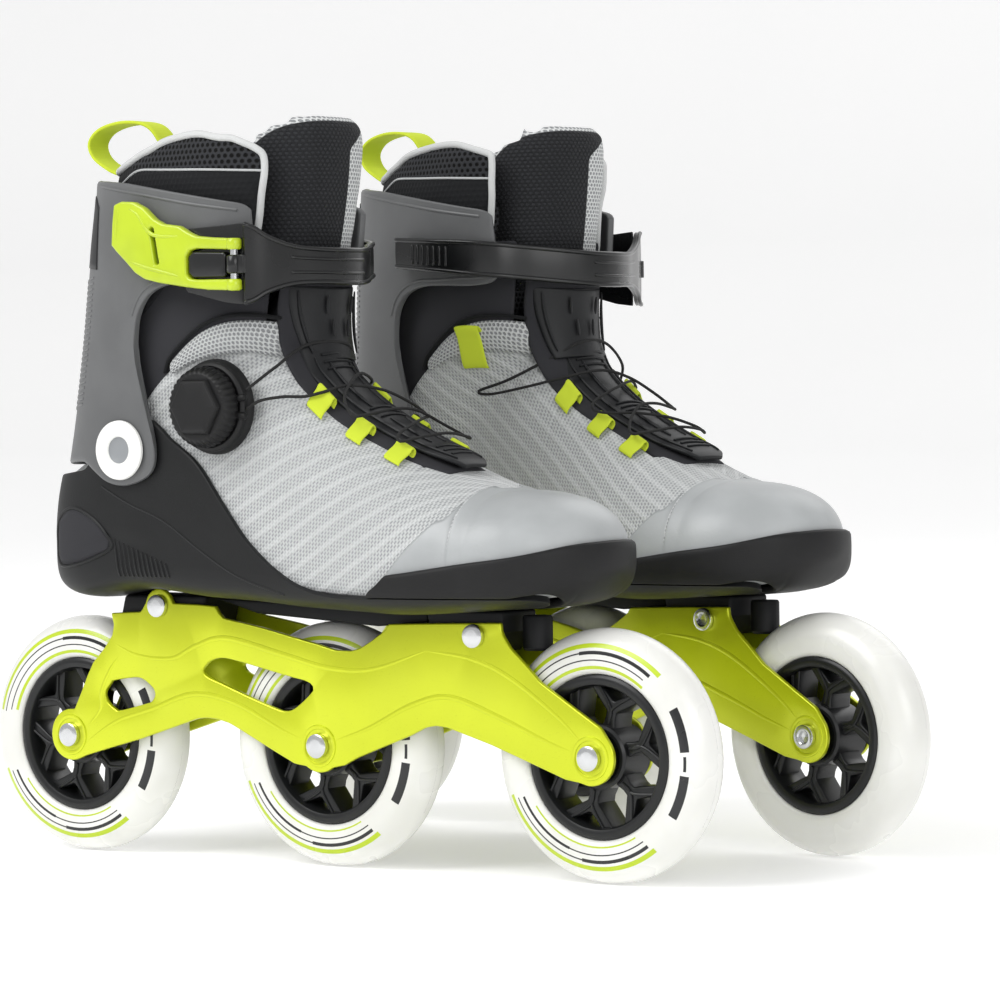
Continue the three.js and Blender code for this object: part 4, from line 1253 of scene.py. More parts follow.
@dataclass(frozen=True)
class SpacerMesh(Finish):
    """Open warp-knitted mesh: rows of small holes in a thick cloth."""

    light: Colour = tint("2F3033")
    dark: Colour = tint("030303")
    pitch: float = 2.6

    def holes(self, graph: Graph) -> Signal:
        """Return the pattern, 0 in the holes and 1 between them."""
        u, v = graph.chart()
        odd = (v / self.pitch).repeat(2.0).over(1.0)
        across = (u + odd * (self.pitch / 2)).repeat(self.pitch) - self.pitch / 2
        upward = v.repeat(self.pitch) - self.pitch / 2
        reach = (across * across + upward * upward * 0.8) ** 0.5
        return reach.ramp(self.pitch * 0.2, self.pitch * 0.42)

    def build(self) -> bpy.types.Material:
        """Make the material."""
        graph = Graph(self.name)
        solid = self.holes(graph)
        fibre = graph.noise(graph.place(), 1600.0)
        colour = graph.mix(solid, self.dark, self.light)
        colour = graph.mix(fibre * 0.35, colour, self.dark)
        return graph.finish(colour, 0.9 - solid * 0.1, solid + fibre * 0.2, 0.0009,
                            Sheen_Weight=0.03, Specular_IOR_Level=0.2)


@dataclass(frozen=True)
class Cloth(Finish):
    """Close, smooth cloth with a fine weave that barely shows."""

    light: Colour = tint("1C1D1F")
    dark: Colour = tint("101112")
    pitch: float = 0.7
    depth: float = 0.00012

    def build(self) -> bpy.types.Material:
        """Make the material."""
        graph = Graph(self.name)
        u, v = graph.chart()
        weave = (u * (2 * math.pi / self.pitch)).sine() * (v * (2 * math.pi / self.pitch)).sine()
        cloud = graph.noise(graph.place(), 45.0)
        colour = graph.mix(weave.ramp(-0.8, 0.8) * 0.5 + cloud * 0.5, self.dark, self.light)
        return graph.finish(colour, 0.8 + (cloud - 0.5) * 0.12, weave.ramp(-1, 1), self.depth,
                            Sheen_Weight=0.04, Specular_IOR_Level=0.2)


@dataclass(frozen=True)
class Webbing(Finish):
    """Ribbed narrow webbing, its ribs across the chart's first direction."""

    light: Colour = tint("BCD02E")
    dark: Colour = tint("8C9E14")
    pitch: float = 1.7

    def build(self) -> bpy.types.Material:
        """Make the material."""
        graph = Graph(self.name)
        u, v = graph.chart()
        rib = (u * (2 * math.pi / self.pitch)).sine().ramp(-0.9, 0.6)
        yarn = (v * (2 * math.pi / 0.8)).sine().ramp(-1, 1)
        cloud = graph.noise(graph.place(), 90.0)
        colour = graph.mix(rib * 0.8 + yarn * 0.2, self.dark, self.light)
        return graph.finish(colour, 0.72 + (cloud - 0.5) * 0.15, rib * 0.8 + yarn * 0.2, 0.0004,
                            Sheen_Weight=0.2, Sheen_Roughness=0.5)


KNIT = Knit("light_knit")
BLACK_MESH = SpacerMesh("black_mesh")
GREY_MESH = SpacerMesh("grey_mesh", tint("CFD1D1"), tint("8E9092"), 1.8)
BLACK_CLOTH = Cloth("black_cloth")
GREY_CLOTH = Cloth("grey_cloth", tint("C6C8C8"), tint("AFB1B2"), 0.8)
PIPING = Cloth("light_piping", tint("D9DAD9"), tint("BDBFBF"), 0.9)
WEBBING = Webbing("lime_webbing")
TOE_FILM = Plastic("toe_film", tint("A3A6A7"), 0.42, 0.00008, 700.0, 0.1, 0.5)
LACE_CORD = Cloth("lace_cord", tint("161617"), tint("060606"), 0.9, 0.0002)


# ---- boot walls -------------------------------------------------------------------------------------------------
TOE_TIP = 2 * FAN + FOOT.toe[0] - FOOT.heel[0]
"""Distance round the foot from the heel's middle to the toe's tip."""


def run_at(x: Union[float, Array]) -> Union[float, Array]:
    """Return the distance round the foot, from the heel's middle, of a straight section at x."""
    return x - FOOT.heel[0] + FAN


def leg_reach(centre: Array, way: Array, height: Array, grow: float) -> Array:
    """Find how far the leg reaches from a point in plan.

    Args:
        centre: The (x, y) to start from.
        way: The (x, y) direction of length 1.
        height: The heights over the boot's underside.
        grow: How far outside the leg's own surface.

    Returns:
        The distances, 0 where the start is outside the leg.
    """
    def inside(reach: Array) -> Array:
        """Tell whether the points at a distance are inside the leg."""
        x = (centre[..., 0] + way[..., 0] * reach - LEG.middle(height)) / (LEG.half_length(height) + grow)
        y = (centre[..., 1] + way[..., 1] * reach - LEG.lean(height)) / (LEG.half_width(height) + grow)
        return np.abs(x) ** LEG.power + np.abs(y) ** LEG.power < 1

    low, high = np.zeros(height.shape), np.full(height.shape, 140.0)
    start = inside(low)
    for _ in range(24):
        middle = (low + high) / 2
        within = inside(middle)
        low, high = np.where(within, middle, low), np.where(within, high, middle)
    return np.where(start, low, 0)


def boot_at(place: Array, turn: Array, grow: float = 0.0) -> Array:
    """Find points on the boot: the foot, filled out to the leg above it, over the ground.

    Args:
        place: Distances round the foot from the heel's middle, negative on the outer side.
        turn: The angle up the section in degrees.
        grow: How far outside the boot's own surface.

    Returns:
        The points.
    """
    place, turn = np.broadcast_arrays(np.asarray(place, float), np.asarray(turn, float))
    points = FOOT.at(place, turn, grow)
    centre, along, across, _ = FOOT.column(place, grow)
    start = np.stack([centre, FOOT.drift(centre)], axis=-1)
    way = np.stack([along, across], axis=-1)
    way = way / np.maximum(np.linalg.norm(way, axis=-1, keepdims=True), 1e-9)
    own = np.linalg.norm(points[..., :2] - start, axis=-1)
    height = points[..., 2]
    leg = leg_reach(start, way, height, grow) * np.clip((height - 18) / 16, 0, 1)
    reach = np.where(leg > 0, (own + leg + np.sqrt((own - leg) ** 2 + 6.0)) / 2, own)
    points[..., :2] = np.where((leg > 0)[..., None], start + way * reach[..., None], points[..., :2])
    return over_sole(points)


def wall(places: Array, low: Array, high: Array, rows: int, grow: float) -> Grid:
    """Make part of the boot's wall between two angles up its sections.

    Args:
        places: Distances round the foot.
        low: The lower angle at each place.
        high: The upper angle at each place.
        rows: How many rows of points.
        grow: How far outside the boot's own surface.

    Returns:
        The sheet, charted in millimetres along and up the wall.
    """
    share = np.linspace(0, 1, rows)[:, None]
    turn = low[None, :] * (1 - share) + high[None, :] * share
    points = boot_at(places[None, :], turn, grow)
    steps = np.linalg.norm(np.diff(points, axis=0), axis=-1)
    upward = np.vstack([np.zeros(len(places)), np.cumsum(steps, axis=0)])
    base = FOOT.turn_at(places, FOOT.underside(FOOT.column(places, grow)[3]) + 8)
    start = (low - base) * 0.6
    return Grid(points, np.stack([np.broadcast_to(places, upward.shape), upward + start[None, :]], axis=-1))


def over_toe(first: float, count: int) -> Array:
    """Return distances round the foot from the outer side, over the toe's tip, to the inner side."""
    span = np.linspace(first, TOE_TIP, count)
    return np.concatenate([-span, span[::-1][1:]])


@cache
def heights_round(height: float, grow: float) -> tuple[Array, Array]:
    """Return distances round the foot, and how far along it each one is at a height."""
    spread = np.linspace(0, TOE_TIP - FAN, 160)
    xs = boot_at(spread, FOOT.turn_at(spread, np.full(160, height), grow), grow)[:, 0]
    return spread, np.maximum.accumulate(xs)


def place_on(x: float, height: float, grow: float) -> float:
    """Return the distance round the foot at which a surface outside it passes x at a height."""
    spread, xs = heights_round(height, grow)
    return float(np.interp(x, xs, spread))


@dataclass
class LowerShell:
    """The moulded lower shell with its sole, mounting blocks, side window, ribs and the rubber toe rand."""

    skate: Skate
    gap: float = 0.3
    thickness: float = 3.0
    rand_start: float = 50.0
    edge: Smooth = Smooth(
        (-150, 62), (-126, 64), (-116, 66), (-111, 74), (-106, 85), (-100, 87.5), (-74, 87.5), (-68, 84),
        (-63, 79), (-47, 66.6), (-32, 48.5), (-19, 33.4), (-2.5, 20.3), (14, 11.8), (30, 8.6), (48, 8.2),
        (58, 8.5), (160, 8.5))
    rand_edge: Smooth = Smooth(
        (48, 16.5), (50, 17.5), (72, 20.3), (98, 24), (124, 27.5), (150, 33.5), (170, 36))

    @property
    def grow(self) -> float:
        """Return how far the outer face is outside the upper."""
        return self.gap + self.thickness

    def turn_of(self, places: Array, heights: Array) -> Array:
        """Return the angles up the sections at heights."""
        return FOOT.turn_at(places, heights, self.grow)

    def shell(self) -> bpy.types.Mesh:
        """Make the wall and the sole."""
        places = np.linspace(-TOE_TIP, TOE_TIP, 241)
        rim = FOOT.column(places, self.grow)[3]
        high = self.turn_of(places, self.edge(rim))
        low = np.full(len(places), -90.0)
        middle = np.minimum(high - 1, -3.0)
        bottom = wall(places, low, middle, 16, self.grow)
        side = wall(places, middle, high, 22, self.grow)
        return tidied(mesh_of("shell", [bottom, side]), 0.05)

    def rand(self) -> bpy.types.Mesh:
        """Make the rubber that wraps the toe."""
        first = run_at(self.rand_start)
        places = over_toe(first, 56)
        rim = FOOT.column(places, self.grow)[3]
        low = self.turn_of(places, np.full(len(places), 9.0) + np.clip((rim - 120) / 12, 0, 1) * 2.0)
        high = self.turn_of(places, self.rand_edge(rim))
        fade = np.clip((np.abs(places) - first) / 10, 0, 1) ** 0.5
        return tidied(mesh_of("rand", [wall(places, low, low + (high - low) * fade, 12, self.grow + 0.35)]))

    def blocks(self) -> bpy.types.Mesh:
        """Make the mounting blocks that reach down between the frame's plates, and the front plug."""
        lines = [
            ([(-117, -5), (-109, -8.6), (-69, -8.0), (-66, 6), (-114, 6)], 13.2, 1.4),
            ([(61, -13), (66, -15.2), (91, -16), (98.5, -7), (99, 2), (58, 2)], 13.2, 1.4),
            ([(-64, 5), (-40, -1.5), (28, -6), (56, -4), (56, 1), (-30, 4)], 9.0, 1.2),
        ]
        made = [slab(np.array(line) + (0, SOLE), -half, half, edge=edge) for line, half, edge in lines]
        profile = [(0.1, 1.0), (6.0, 1.0), (6.6, 0), (6.6, -13.0), (5.6, -14.2), (0.1, -14.2)]
        return joined([*made, upright(profile, 40, (108.5, 0, SOLE - 1))])

    def trim(self, side: int) -> list[bpy.types.Mesh]:
        """Make the raised rim round the heel window, the ribbed corner and the lip over the groove.

        Args:
            side: -1 for the outer side and 1 for the inner side.

        Returns:
            The bars.
        """
        def bar(path: Sequence[Sequence[float]], radius: float, count: int = 40) -> bpy.types.Mesh:
            """Lay a bar on the shell along (x, height) points."""
            line = resample(path, count, True)
            places = np.array([self.place_at(x, z) for x, z in line]) * side
            at = boot_at(places, self.turn_of(places, line[:, 1]), self.grow - radius * 0.25)
            return mesh_of("bar", tube(at, radius, 8))

        window = [(-139, 25), (-137, 41), (-124, 47), (-108, 42), (-98, 33), (-99, 28), (-116, 22),
                  (-133, 20), (-139, 25)]
        bars = [bar(window, 0.9, 70)]
        for i in range(12):
            x = -94 + 2.7 * i
            top = 33 - 1.0 * i
            bars.append(bar([(x, 16), (x - 0.6, (16 + top) / 2), (x - 1.6, top)], 0.7, 8))
        bars.append(bar([(-103, 57), (-86, 49), (-66, 41), (-45, 28), (-24, 17), (2, 9)], 0.55, 60))
        return bars

    def place_at(self, x: float, height: float) -> float:
        """Return the distance round the foot at which the shell passes x at a height."""
        return place_on(x, round(height, 1), self.grow)

    def window(self, side: int) -> Grid:
        """Make the mesh-covered panel sunk into the heel's side."""
        rows = []
        for share in np.linspace(0, 1, 9):
            low = [(-138, 25.5), (-132, 21), (-116, 23), (-99.5, 28.5)]
            high = [(-136.5, 40.5), (-124, 46), (-108, 41.3), (-98.5, 32.5)]
            line = resample(low, 24, True) * (1 - share) + resample(high, 24, True) * share
            places = np.array([self.place_at(x, z) for x, z in line]) * side
            rows.append(boot_at(places, self.turn_of(places, line[:, 1]), self.grow + 0.25))
        return Grid(np.array(rows))

    def build(self) -> None:
        """Make the pieces and set them in the skate."""
        add = self.skate.add
        shell = add("moulded_shell", self.shell(), SHELL_BLACK, "chassis", "black_plastic", ["shell"])
        thicken(shell, self.thickness - 0.1, 1, rim=0.6)
        rand = add("rubber_rand", self.rand(), RAND_RUBBER, "chassis", "black_rubber", ["toe_rand"])
        thicken(rand, self.thickness, 1, rim=0.35)
        add("mounting_blocks", self.blocks(), BLOCK_BLACK, "chassis", "black_plastic", smooth=35)
        for side, word in ((-1, "outer"), (1, "inner")):
            panel = add(f"heel_window_{word}", tidied(mesh_of("panel", [self.window(side)])), BLACK_MESH,
                        "chassis", "black_mesh")
            thicken(panel, 0.5, 0)
            add(f"shell_ribs_{word}", joined(self.trim(side)), SHELL_BLACK, "chassis", "black_plastic")


@dataclass
class KnitUpper:
    """The knitted upper, the smooth film over its toe, the footbed and the webbing lace loops."""

    skate: Skate
    thickness: float = 2.6
    throat: float = 19.0
    throat_front: float = 62.0
    edge: Smooth = Smooth(
        (-150, 58), (-112, 72), (-90, 80), (-84, 88), (-73, 101), (-60, 112), (-48, 120.5), (-36, 123),
        (-25, 124), (-10, 122.5), (-2, 119), (3, 112), (8, 106), (12, 130))

    def top_turn(self, places: Array) -> Array:
        """Return the angle up the section of the upper's top edge, 90 where both sides meet over the toes."""
        rim = FOOT.column(places, 0.0)[3]
        high = FOOT.turn_at(places, self.edge(rim))
        share = np.clip(self.throat / FOOT.half_width(rim), 0, 1)
        throat = np.degrees(np.arccos(share**1.2))
        open_part = np.where(rim < 8, np.minimum(high, 88.5), throat)
        return np.where(rim > self.throat_front, 90.0, np.where(rim < 8, open_part, throat))

    def places(self) -> Array:
        """Return the columns' places, close together round the throat's front corners."""
        front = run_at(self.throat_front)
        one = np.concatenate([np.linspace(0, front - 0.4, 150), np.linspace(front + 0.4, TOE_TIP, 90)])
        return np.concatenate([-one[::-1], one[1:]])

    def upper(self) -> bpy.types.Mesh:
        """Make the knit."""
        places = self.places()
        rim = FOOT.column(places, 0.0)[3]
        low = FOOT.turn_at(places, FOOT.underside(rim) + 6.6)
        return tidied(mesh_of("upper", [wall(places, low, self.top_turn(places), 44, 0.0)]), 0.03)

    def film(self) -> bpy.types.Mesh:
        """Make the thin smooth film pressed on the toe, which runs back along both sides over the rand."""
        places = over_toe(run_at(50), 90)
        rim = FOOT.column(places, 0.5)[3]
        reach = Smooth((50, 9), (58, 16), (66, 25), (74, 33), (82, 41), (90, 49), (96, 90))
        low = FOOT.turn_at(places, FOOT.underside(rim) + 7.5)
        top = np.where(rim > 95, 90.0, FOOT.turn_at(places, np.minimum(reach(rim), FOOT.top(rim) - 0.3)))
        top = np.minimum(top, 90.0)
        return tidied(mesh_of("film", [wall(places, low, np.maximum(top, low + 2), 30, 0.45)]), 0.03)

    def loop(self, x: float, side: int, wide: float = 8.5, long: float = 15.0, lean: float = 0.0) -> Grid:
        """Make one folded webbing loop at the throat's edge.

        Args:
            x: Where its middle is along the foot.
            side: -1 for the outer side and 1 for the inner side.
            wide: Its width along the foot.
            long: How far it lies down the side.
            lean: How far its lower end is behind its upper end.

        Returns:
            The sheet, which folds over at its upper end.
        """
        rows = []
        edge = float(self.top_turn(np.array([run_at(x)]))[0])
        girth = 62.0
        lower = edge - math.degrees(long / girth)
        for share, grow in ((0, 0.5), (0.06, 1.5), (0.3, 2.0), (0.6, 2.4), (0.85, 3.2), (0.97, 4.2),
                            (1.06, 4.6), (1.12, 3.8), (1.1, 2.6), (1.0, 1.8), (0.85, 1.0)):
            turn = lower + (edge - lower) * share
            across = np.linspace(-wide / 2, wide / 2, 7) + x - lean * (1 - share)
            places = run_at(across) * side
            rows.append(boot_at(places, np.full(7, min(turn, 89)), grow))
        points = np.array(rows)
        along = lengths(points[:, 3])
        return Grid(points, together(along[:, None], np.linspace(0, wide, 7)[None]))

    def footbed(self) -> bpy.types.Mesh:
        """Make the footbed that lies in the upper."""
        xs = np.linspace(-136, 130, 60)
        share = np.linspace(-1, 1, 15)
        half = (FOOT.half_width(xs) - 4.2) * 0.72
        y = FOOT.drift(xs)[None] + share[:, None] * half[None]
        z = FOOT.underside(xs)[None] + 15.6 + 2.2 * np.abs(share[:, None]) ** 3 + 0 * y
        points = over_sole(np.stack([np.broadcast_to(xs, y.shape), y, z], axis=-1))
        return tidied(mesh_of("footbed", [Grid(points)]))

    def build(self) -> None:
        """Make the pieces and set them in the skate."""
        add = self.skate.add
        upper = add("knitted_upper", self.upper(), KNIT, "chassis", "knit", ["upper"], 60)
        thicken(upper, self.thickness, 1, rim=0.2)
        film = add("toe_film", self.film(), TOE_FILM, "chassis", "toe_film")
        thicken(film, 0.4, 0)
        bed = add("footbed", self.footbed(), GREY_CLOTH, "chassis", "footbed", ["insole"])
        thicken(bed, 3.6, 1)
        loops = [(x, side, 8.5, 13.0, 2.0) for x in (10.5, 31.5, 52.5) for side in (-1, 1)]
        loops.append((-36.0, 1, 12.0, 20.0, 0.0))
        made = joined([mesh_of("loop", [self.loop(*each)]) for each in loops])
        webbing = add("lace_loops", tidied(made), WEBBING, "chassis", "lime_webbing")
        thicken(webbing, 1.1, 1, outward=1.0, rim=0.5)


# ---- cuff -------------------------------------------------------------------------------------------------------
@dataclass
class Cuff:
    """The hinged cuff: a moulded wall with two wings, its rear trim and the pivots' rings."""

    skate: Skate
    inner: float = 4.2
    thickness: float = 3.2
    pivot: tuple[float, float] = (-87.0, 73.4)
    rails: tuple = (
        (-143.4, 66, -125.6, 195.5), (-132, 66.8, -122, 196.6), (-120, 67.6, -120, 197),
        (-113, 67.4, -118, 197), (-104, 62.4, -115, 196.6), (-97, 58.6, -113, 196.4),
        (-88, 57, -110.5, 196.2), (-79, 58.4, -108, 196), (-71, 62.5, -105, 195.8), (-68, 70, -102.5, 195.6),
        (-69, 79.4, -100, 195.4), (-71.4, 86.5, -97, 195.1), (-73.8, 93.4, -94, 194.8),
        (-76, 102.5, -91, 194.5), (-77.5, 111.4, -87, 194.1), (-78.5, 120.4, -83, 193.6),
        (-77, 132, -78, 192.8), (-73, 139.4, -72, 191.8), (-67, 144.4, -64, 190.4), (-57, 147.2, -55, 188.8),
        (-43, 147.4, -42, 186.5), (-30, 147, -30, 184.3), (-19.5, 148.2, -19.6, 182.3),
        (-15.6, 152, -15.8, 179.5))

    @property
    def grow(self) -> float:
        """Return how far the cuff's outer face is outside the leg."""
        return self.inner + self.thickness

    def on(self, x: Array, height: Array, side: int, lift: float = 0.0) -> Array:
        """Find points on the cuff's outer face at places in the side view."""
        turn = LEG.turn_at(x, height, self.grow + lift) * side
        return over_sole(LEG.at(turn, height, self.grow + lift))

    def wall(self) -> bpy.types.Mesh:
        """Make the wall between its lower and upper rails."""
        rails = resample(self.rails, 96, True)
        share = np.linspace(0, 1, 44)[:, None]
        x = rails[:, 0] * (1 - share) + rails[:, 2] * share
        z = rails[:, 1] * (1 - share) + rails[:, 3] * share
        sheets = []
        for side in (-1, 1):
            turn = LEG.turn_at(x, z, self.grow) * side
            turn[:, 0] = 0
            outer, inner = (over_sole(LEG.at(turn, z, grow)) for grow in (self.grow, self.inner))
            rims = [np.stack([outer[0], inner[0]]), np.stack([outer[-1], inner[-1]]),
                    np.stack([outer[:, -1], inner[:, -1]])]
            sheets += [Grid(points) for points in (outer, inner, *rims)]
        return tidied(mesh_of("cuff", sheets), 0.05)

    def bar(self, path: Sequence[Sequence[float]], side: int, radius: float, count: int = 40,
            sink: float = 0.3, flat: float = 1.0) -> bpy.types.Mesh:
        """Lay a bar on the cuff along (x, height) points."""
        line = resample(path, count, True)
        at = self.on(line[:, 0], line[:, 1], side, -sink * radius)
        return mesh_of("bar", tube(at, radius, 8, flat))

    def trim(self, side: int) -> bpy.types.Mesh:
        """Make the raised edges and the slanted ribs at the rear."""
        bars = [self.bar([(-20, 151), (-43, 150.4), (-60, 150), (-70, 146.5), (-76, 141), (-79.5, 134)],
                         side, 0.8, 70)]
        bars.append(self.bar([(-22, 179.5), (-45, 183), (-78, 189), (-104, 193.4)], side, 0.8, 60))
        for i in range(24):
            z = 92 + 2.5 * i
            rear = LEG.middle(z) - LEG.half_length(z) - self.grow
            bars.append(self.bar([(rear + 8, z), (rear + 13, z + 1.6), (rear + 21, z + 2.4)], side, 0.7, 8))
        return joined(bars)

    def recess(self, side: int) -> bpy.types.Mesh:
        """Make the dark sunk panel at the rear, between the ribs and the lever."""
        low = [(-124.5, 158), (-117, 156.5), (-106.5, 155.5)]
        high = [(-123.5, 187), (-114, 189.5), (-107, 184)]
        share = np.linspace(0, 1, 12)[:, None, None]
        line = resample(low, 16, True)[None] * (1 - share) + resample(high, 16, True)[None] * share
        return tidied(mesh_of("recess", [Grid(self.on(line[..., 0], line[..., 1], side, 0.35))]))

    def pivot_ring(self, side: int) -> bpy.types.Mesh:
        """Make a pivot: shaft, broad rounded ring and hollowed centre."""
        top = self.pivot[1] + 13.5
        face = abs(LEG.lean(top) + side * (LEG.half_width(top) + self.grow)) + 0.3
        ring = [(13.1, face - 0.1), (13.5, face + 0.5), (13.3, face + 1.5), (12.4, face + 2.1),
                (10, face + 2.3), (7.2, face + 2.2), (6.3, face + 1.8), (6.0, face + 1.2)]
        shaft = [(0.05, face - 9.6), (7.9, face - 9.6), (7.9, face), *ring]
        centre = [(6.0, face + 1.2), (5.6, face + 0.9), (3.2, face + 0.45), (0.05, face + 0.3)]
        place = (self.pivot[0], SOLE + self.pivot[1])
        parts = []
        for number, profile in enumerate((shaft, centre)):
            sheet = lathe([(r, side * y) for r, y in profile], 64, place)
            parts.append(numbered(mesh_of("pivot", [sheet]), number))
        return tidied(joined(parts), 0.002)

    def build(self) -> None:
        """Make the pieces and set them in the skate."""
        add = self.skate.add
        cuff = add("moulded_cuff", self.wall(), CUFF_GREY, "cuff", "grey_plastic", ["cuff"])
        round_off(cuff, 1)
        for side, word in ((-1, "outer"), (1, "inner")):
            node = "cuff_pivot_lateral" if side < 0 else "cuff_pivot_medial"
            add(f"cuff_ribs_{word}", self.trim(side), CUFF_GREY, "cuff", "grey_plastic")
            panel = add(f"cuff_panel_{word}", self.recess(side), DARK_TRIM, "cuff", "black_plastic")
            thicken(panel, 0.7, 0)
            add(f"pivot_ring_{word}", self.pivot_ring(side), [PIVOT_WHITE, PIVOT_GREY], "chassis",
                "white_plastic", [node], 30)


# ---- strap, buckle, dial, laces and pull loop -------------------------------------------------------------------
def ribbon(path: Array, out: Array, half: Array, thickness: float, bow: float = 0.0,
           columns: int = 9) -> Grid:
    """Make a flat band that stands upright along a path.

    Args:
        path: Its middle points.
        out: The direction that it faces at each point.
        half: Its half height at each point.
        thickness: Its thickness.
        bow: How far its middle stands out beyond its edges.
        columns: How many points go over each face.

    Returns:
        The closed sheet round its section, without ends.
    """
    share = np.concatenate([np.linspace(-1, 1, columns), np.linspace(1, -1, columns), [-1]])
    face = np.concatenate([np.full(columns, 1.0), np.full(columns, -1.0), [1.0]])
    lift = face * thickness / 2 + bow * (1 - share**2)
    points = (path[:, None] + out[:, None] * lift[None, :, None]
              + UP * (half[:, None] * share[None])[..., None])
    along = lengths(path)
    chart = together(along[:, None], np.abs(share)[None] * half[:, None])
    return Grid(points, chart)


def capped(grid: Grid) -> list[Grid]:
    """Return a ribbon with flat ends."""
    ends = []
    for i in (0, -1):
        ring = grid.points[i]
        columns = (len(ring) - 1) // 2
        pair = np.stack([ring[:columns], ring[columns : 2 * columns][::-1]])
        ends.append(Grid(pair, np.stack([grid.chart[i][:columns]] * 2)))
    return [grid, *ends]


@dataclass
class AnkleStrap:
    """The moulded ankle strap, its hinge pin and the over-centre lever that closes it."""

    skate: Skate
    thickness: float = 2.6
    pin: tuple[float, float] = (-16.0, -50.5)
    lever_thickness: float = 4.5
    path: tuple = (
        (-67, 59.2, 163.5, 7.5), (-42, 59.2, 161.5, 8), (-25, 54, 160, 8.5), (-13, 45.5, 158.6, 8.5),
        (-4, 31.5, 157, 8.5), (5, 18, 155.4, 8.5), (11, 6, 154.2, 8.5), (12, -6, 154, 8.5),
        (8, -18, 154.2, 8.5), (1, -30, 154.6, 9.5), (-5, -40, 155, 13), (-9, -45.6, 155.2, 17),
        (-11.5, -49.4, 155.3, 18.5))

    def line(self, start: float = 0.0, end: float = 1.0, count: int = 90) -> tuple[Array, Array, Array]:
        """Follow the strap.

        Args:
            start: Where to start, as a share of its length.
            end: Where to end.
            count: How many points.

        Returns:
            Its middle points, the direction that it faces, and its half heights.
        """
        whole = resample(self.path, 400, True)
        piece = whole[int(start * 399) : int(end * 399) + 1]
        piece = piece[np.linspace(0, len(piece) - 1, count).astype(int)]
        ahead = np.gradient(piece[:, :2], axis=0)
        out = np.stack([ahead[:, 1], -ahead[:, 0], np.zeros(count)], axis=1)
        out /= -np.linalg.norm(out, axis=1, keepdims=True)
        return over_sole(piece[:, :3]), out, piece[:, 3]

    def strap(self) -> bpy.types.Mesh:
        """Make the band, its raised edges and the grooved field near the buckle."""
        points, out, half = self.line()
        body = mesh_of("strap", capped(ribbon(points, out, half - 0.8, self.thickness, 0.25)))
        parts = [body]
        for sign in (-1, 1):
            edge = points + out * (self.thickness / 2 - 0.15) + UP * (sign * (half - 1.3))[:, None]
            parts.append(mesh_of("edge", tube(edge, 1.15, 8)))
        for sign in (-0.35, 0.35):
            at, way, tall = self.line(0.62, 0.86, 40)
            rib = at + way * (self.thickness / 2 + 0.15) + UP * (sign * tall)[:, None]
            parts.append(mesh_of("rib", tube(rib, 0.75, 8)))
        for i in range(7):
            at, way, tall = self.line(0.07 + 0.02 * i, 0.072 + 0.02 * i + 0.004, 3)
            tooth = at[1] + way[1] * (self.thickness / 2 + 0.1)
            span = np.linspace(-0.55, 0.55, 6)[:, None] * UP * tall[1]
            parts.append(mesh_of("tooth", tube(tooth + span, 0.7, 8, up=tuple(way[1]))))
        return joined([*parts, self.tail(), self.knuckle()])

    def tail(self) -> bpy.types.Mesh:
        """Make the strap's end: through the cuff's slot to the anchor plate inside."""
        x, low, high = -63.0, SOLE + 155.5, SOLE + 170.5
        tail = slab(box(x - 1.6, x + 1.6, low, high), 48, 59, edge=0.4)
        anchor = slab(box(x - 5.6, x + 5.6, low, high), 47.5, 49.4, edge=0.5)
        return joined([tail, anchor])

    def barrel(self, low: float, high: float, edge: float) -> bpy.types.Mesh:
        """Make one barrel of the hinge, round its pin.

        Args:
            low: The height of its lower end.
            high: The height of its upper end.
            edge: The radius of its end faces.

        Returns:
            The barrel.
        """
        bore, radius, bevel = 1.95, 3.4, 0.7
        profile = [(bore, low), (edge, low), (radius, low + bevel), (radius, high - bevel), (edge, high),
                   (bore, high), (bore, low)]
        return upright(profile, 32, (*self.pin, 0))

    def knuckle(self) -> bpy.types.Mesh:
        """Make the hinge barrel between the prongs and the web that carries it."""
        low, high = SOLE + 151.0, SOLE + 159.2
        arm = slab(box(self.pin[0] + 2.8, -10, low, high), self.pin[1] - 1.6, self.pin[1] + 1.6, edge=0.4)
        return joined([self.barrel(low, high, 2.6), arm])

    def pad(self) -> bpy.types.Mesh:
        """Make the black pad that shows between the lever's prongs."""
        pad = [(-41.2, 152), (-38.6, 149.7), (-21, 149.5), (-20.2, 150.3), (-20.2, 159.9), (-21, 160.7),
               (-38.6, 161.4), (-41.2, 159.2)]
        plate = [(-47, 147), (-45, 143.6), (-24, 138.6), (-13.5, 137.4), (-12.8, 173.4), (-24, 172.6),
                 (-43.5, 171.8), (-46.5, 169)]
        lift = np.array([0, SOLE])
        middle = self.pin[1]
        return joined([
            slab(closed(np.array(pad) + lift, 60), middle - 1.4, middle + 2.6, edge=1.1),
            slab(closed(np.array(plate) + lift, 90), middle + 2.6, middle + 3.6, edge=0.35)])

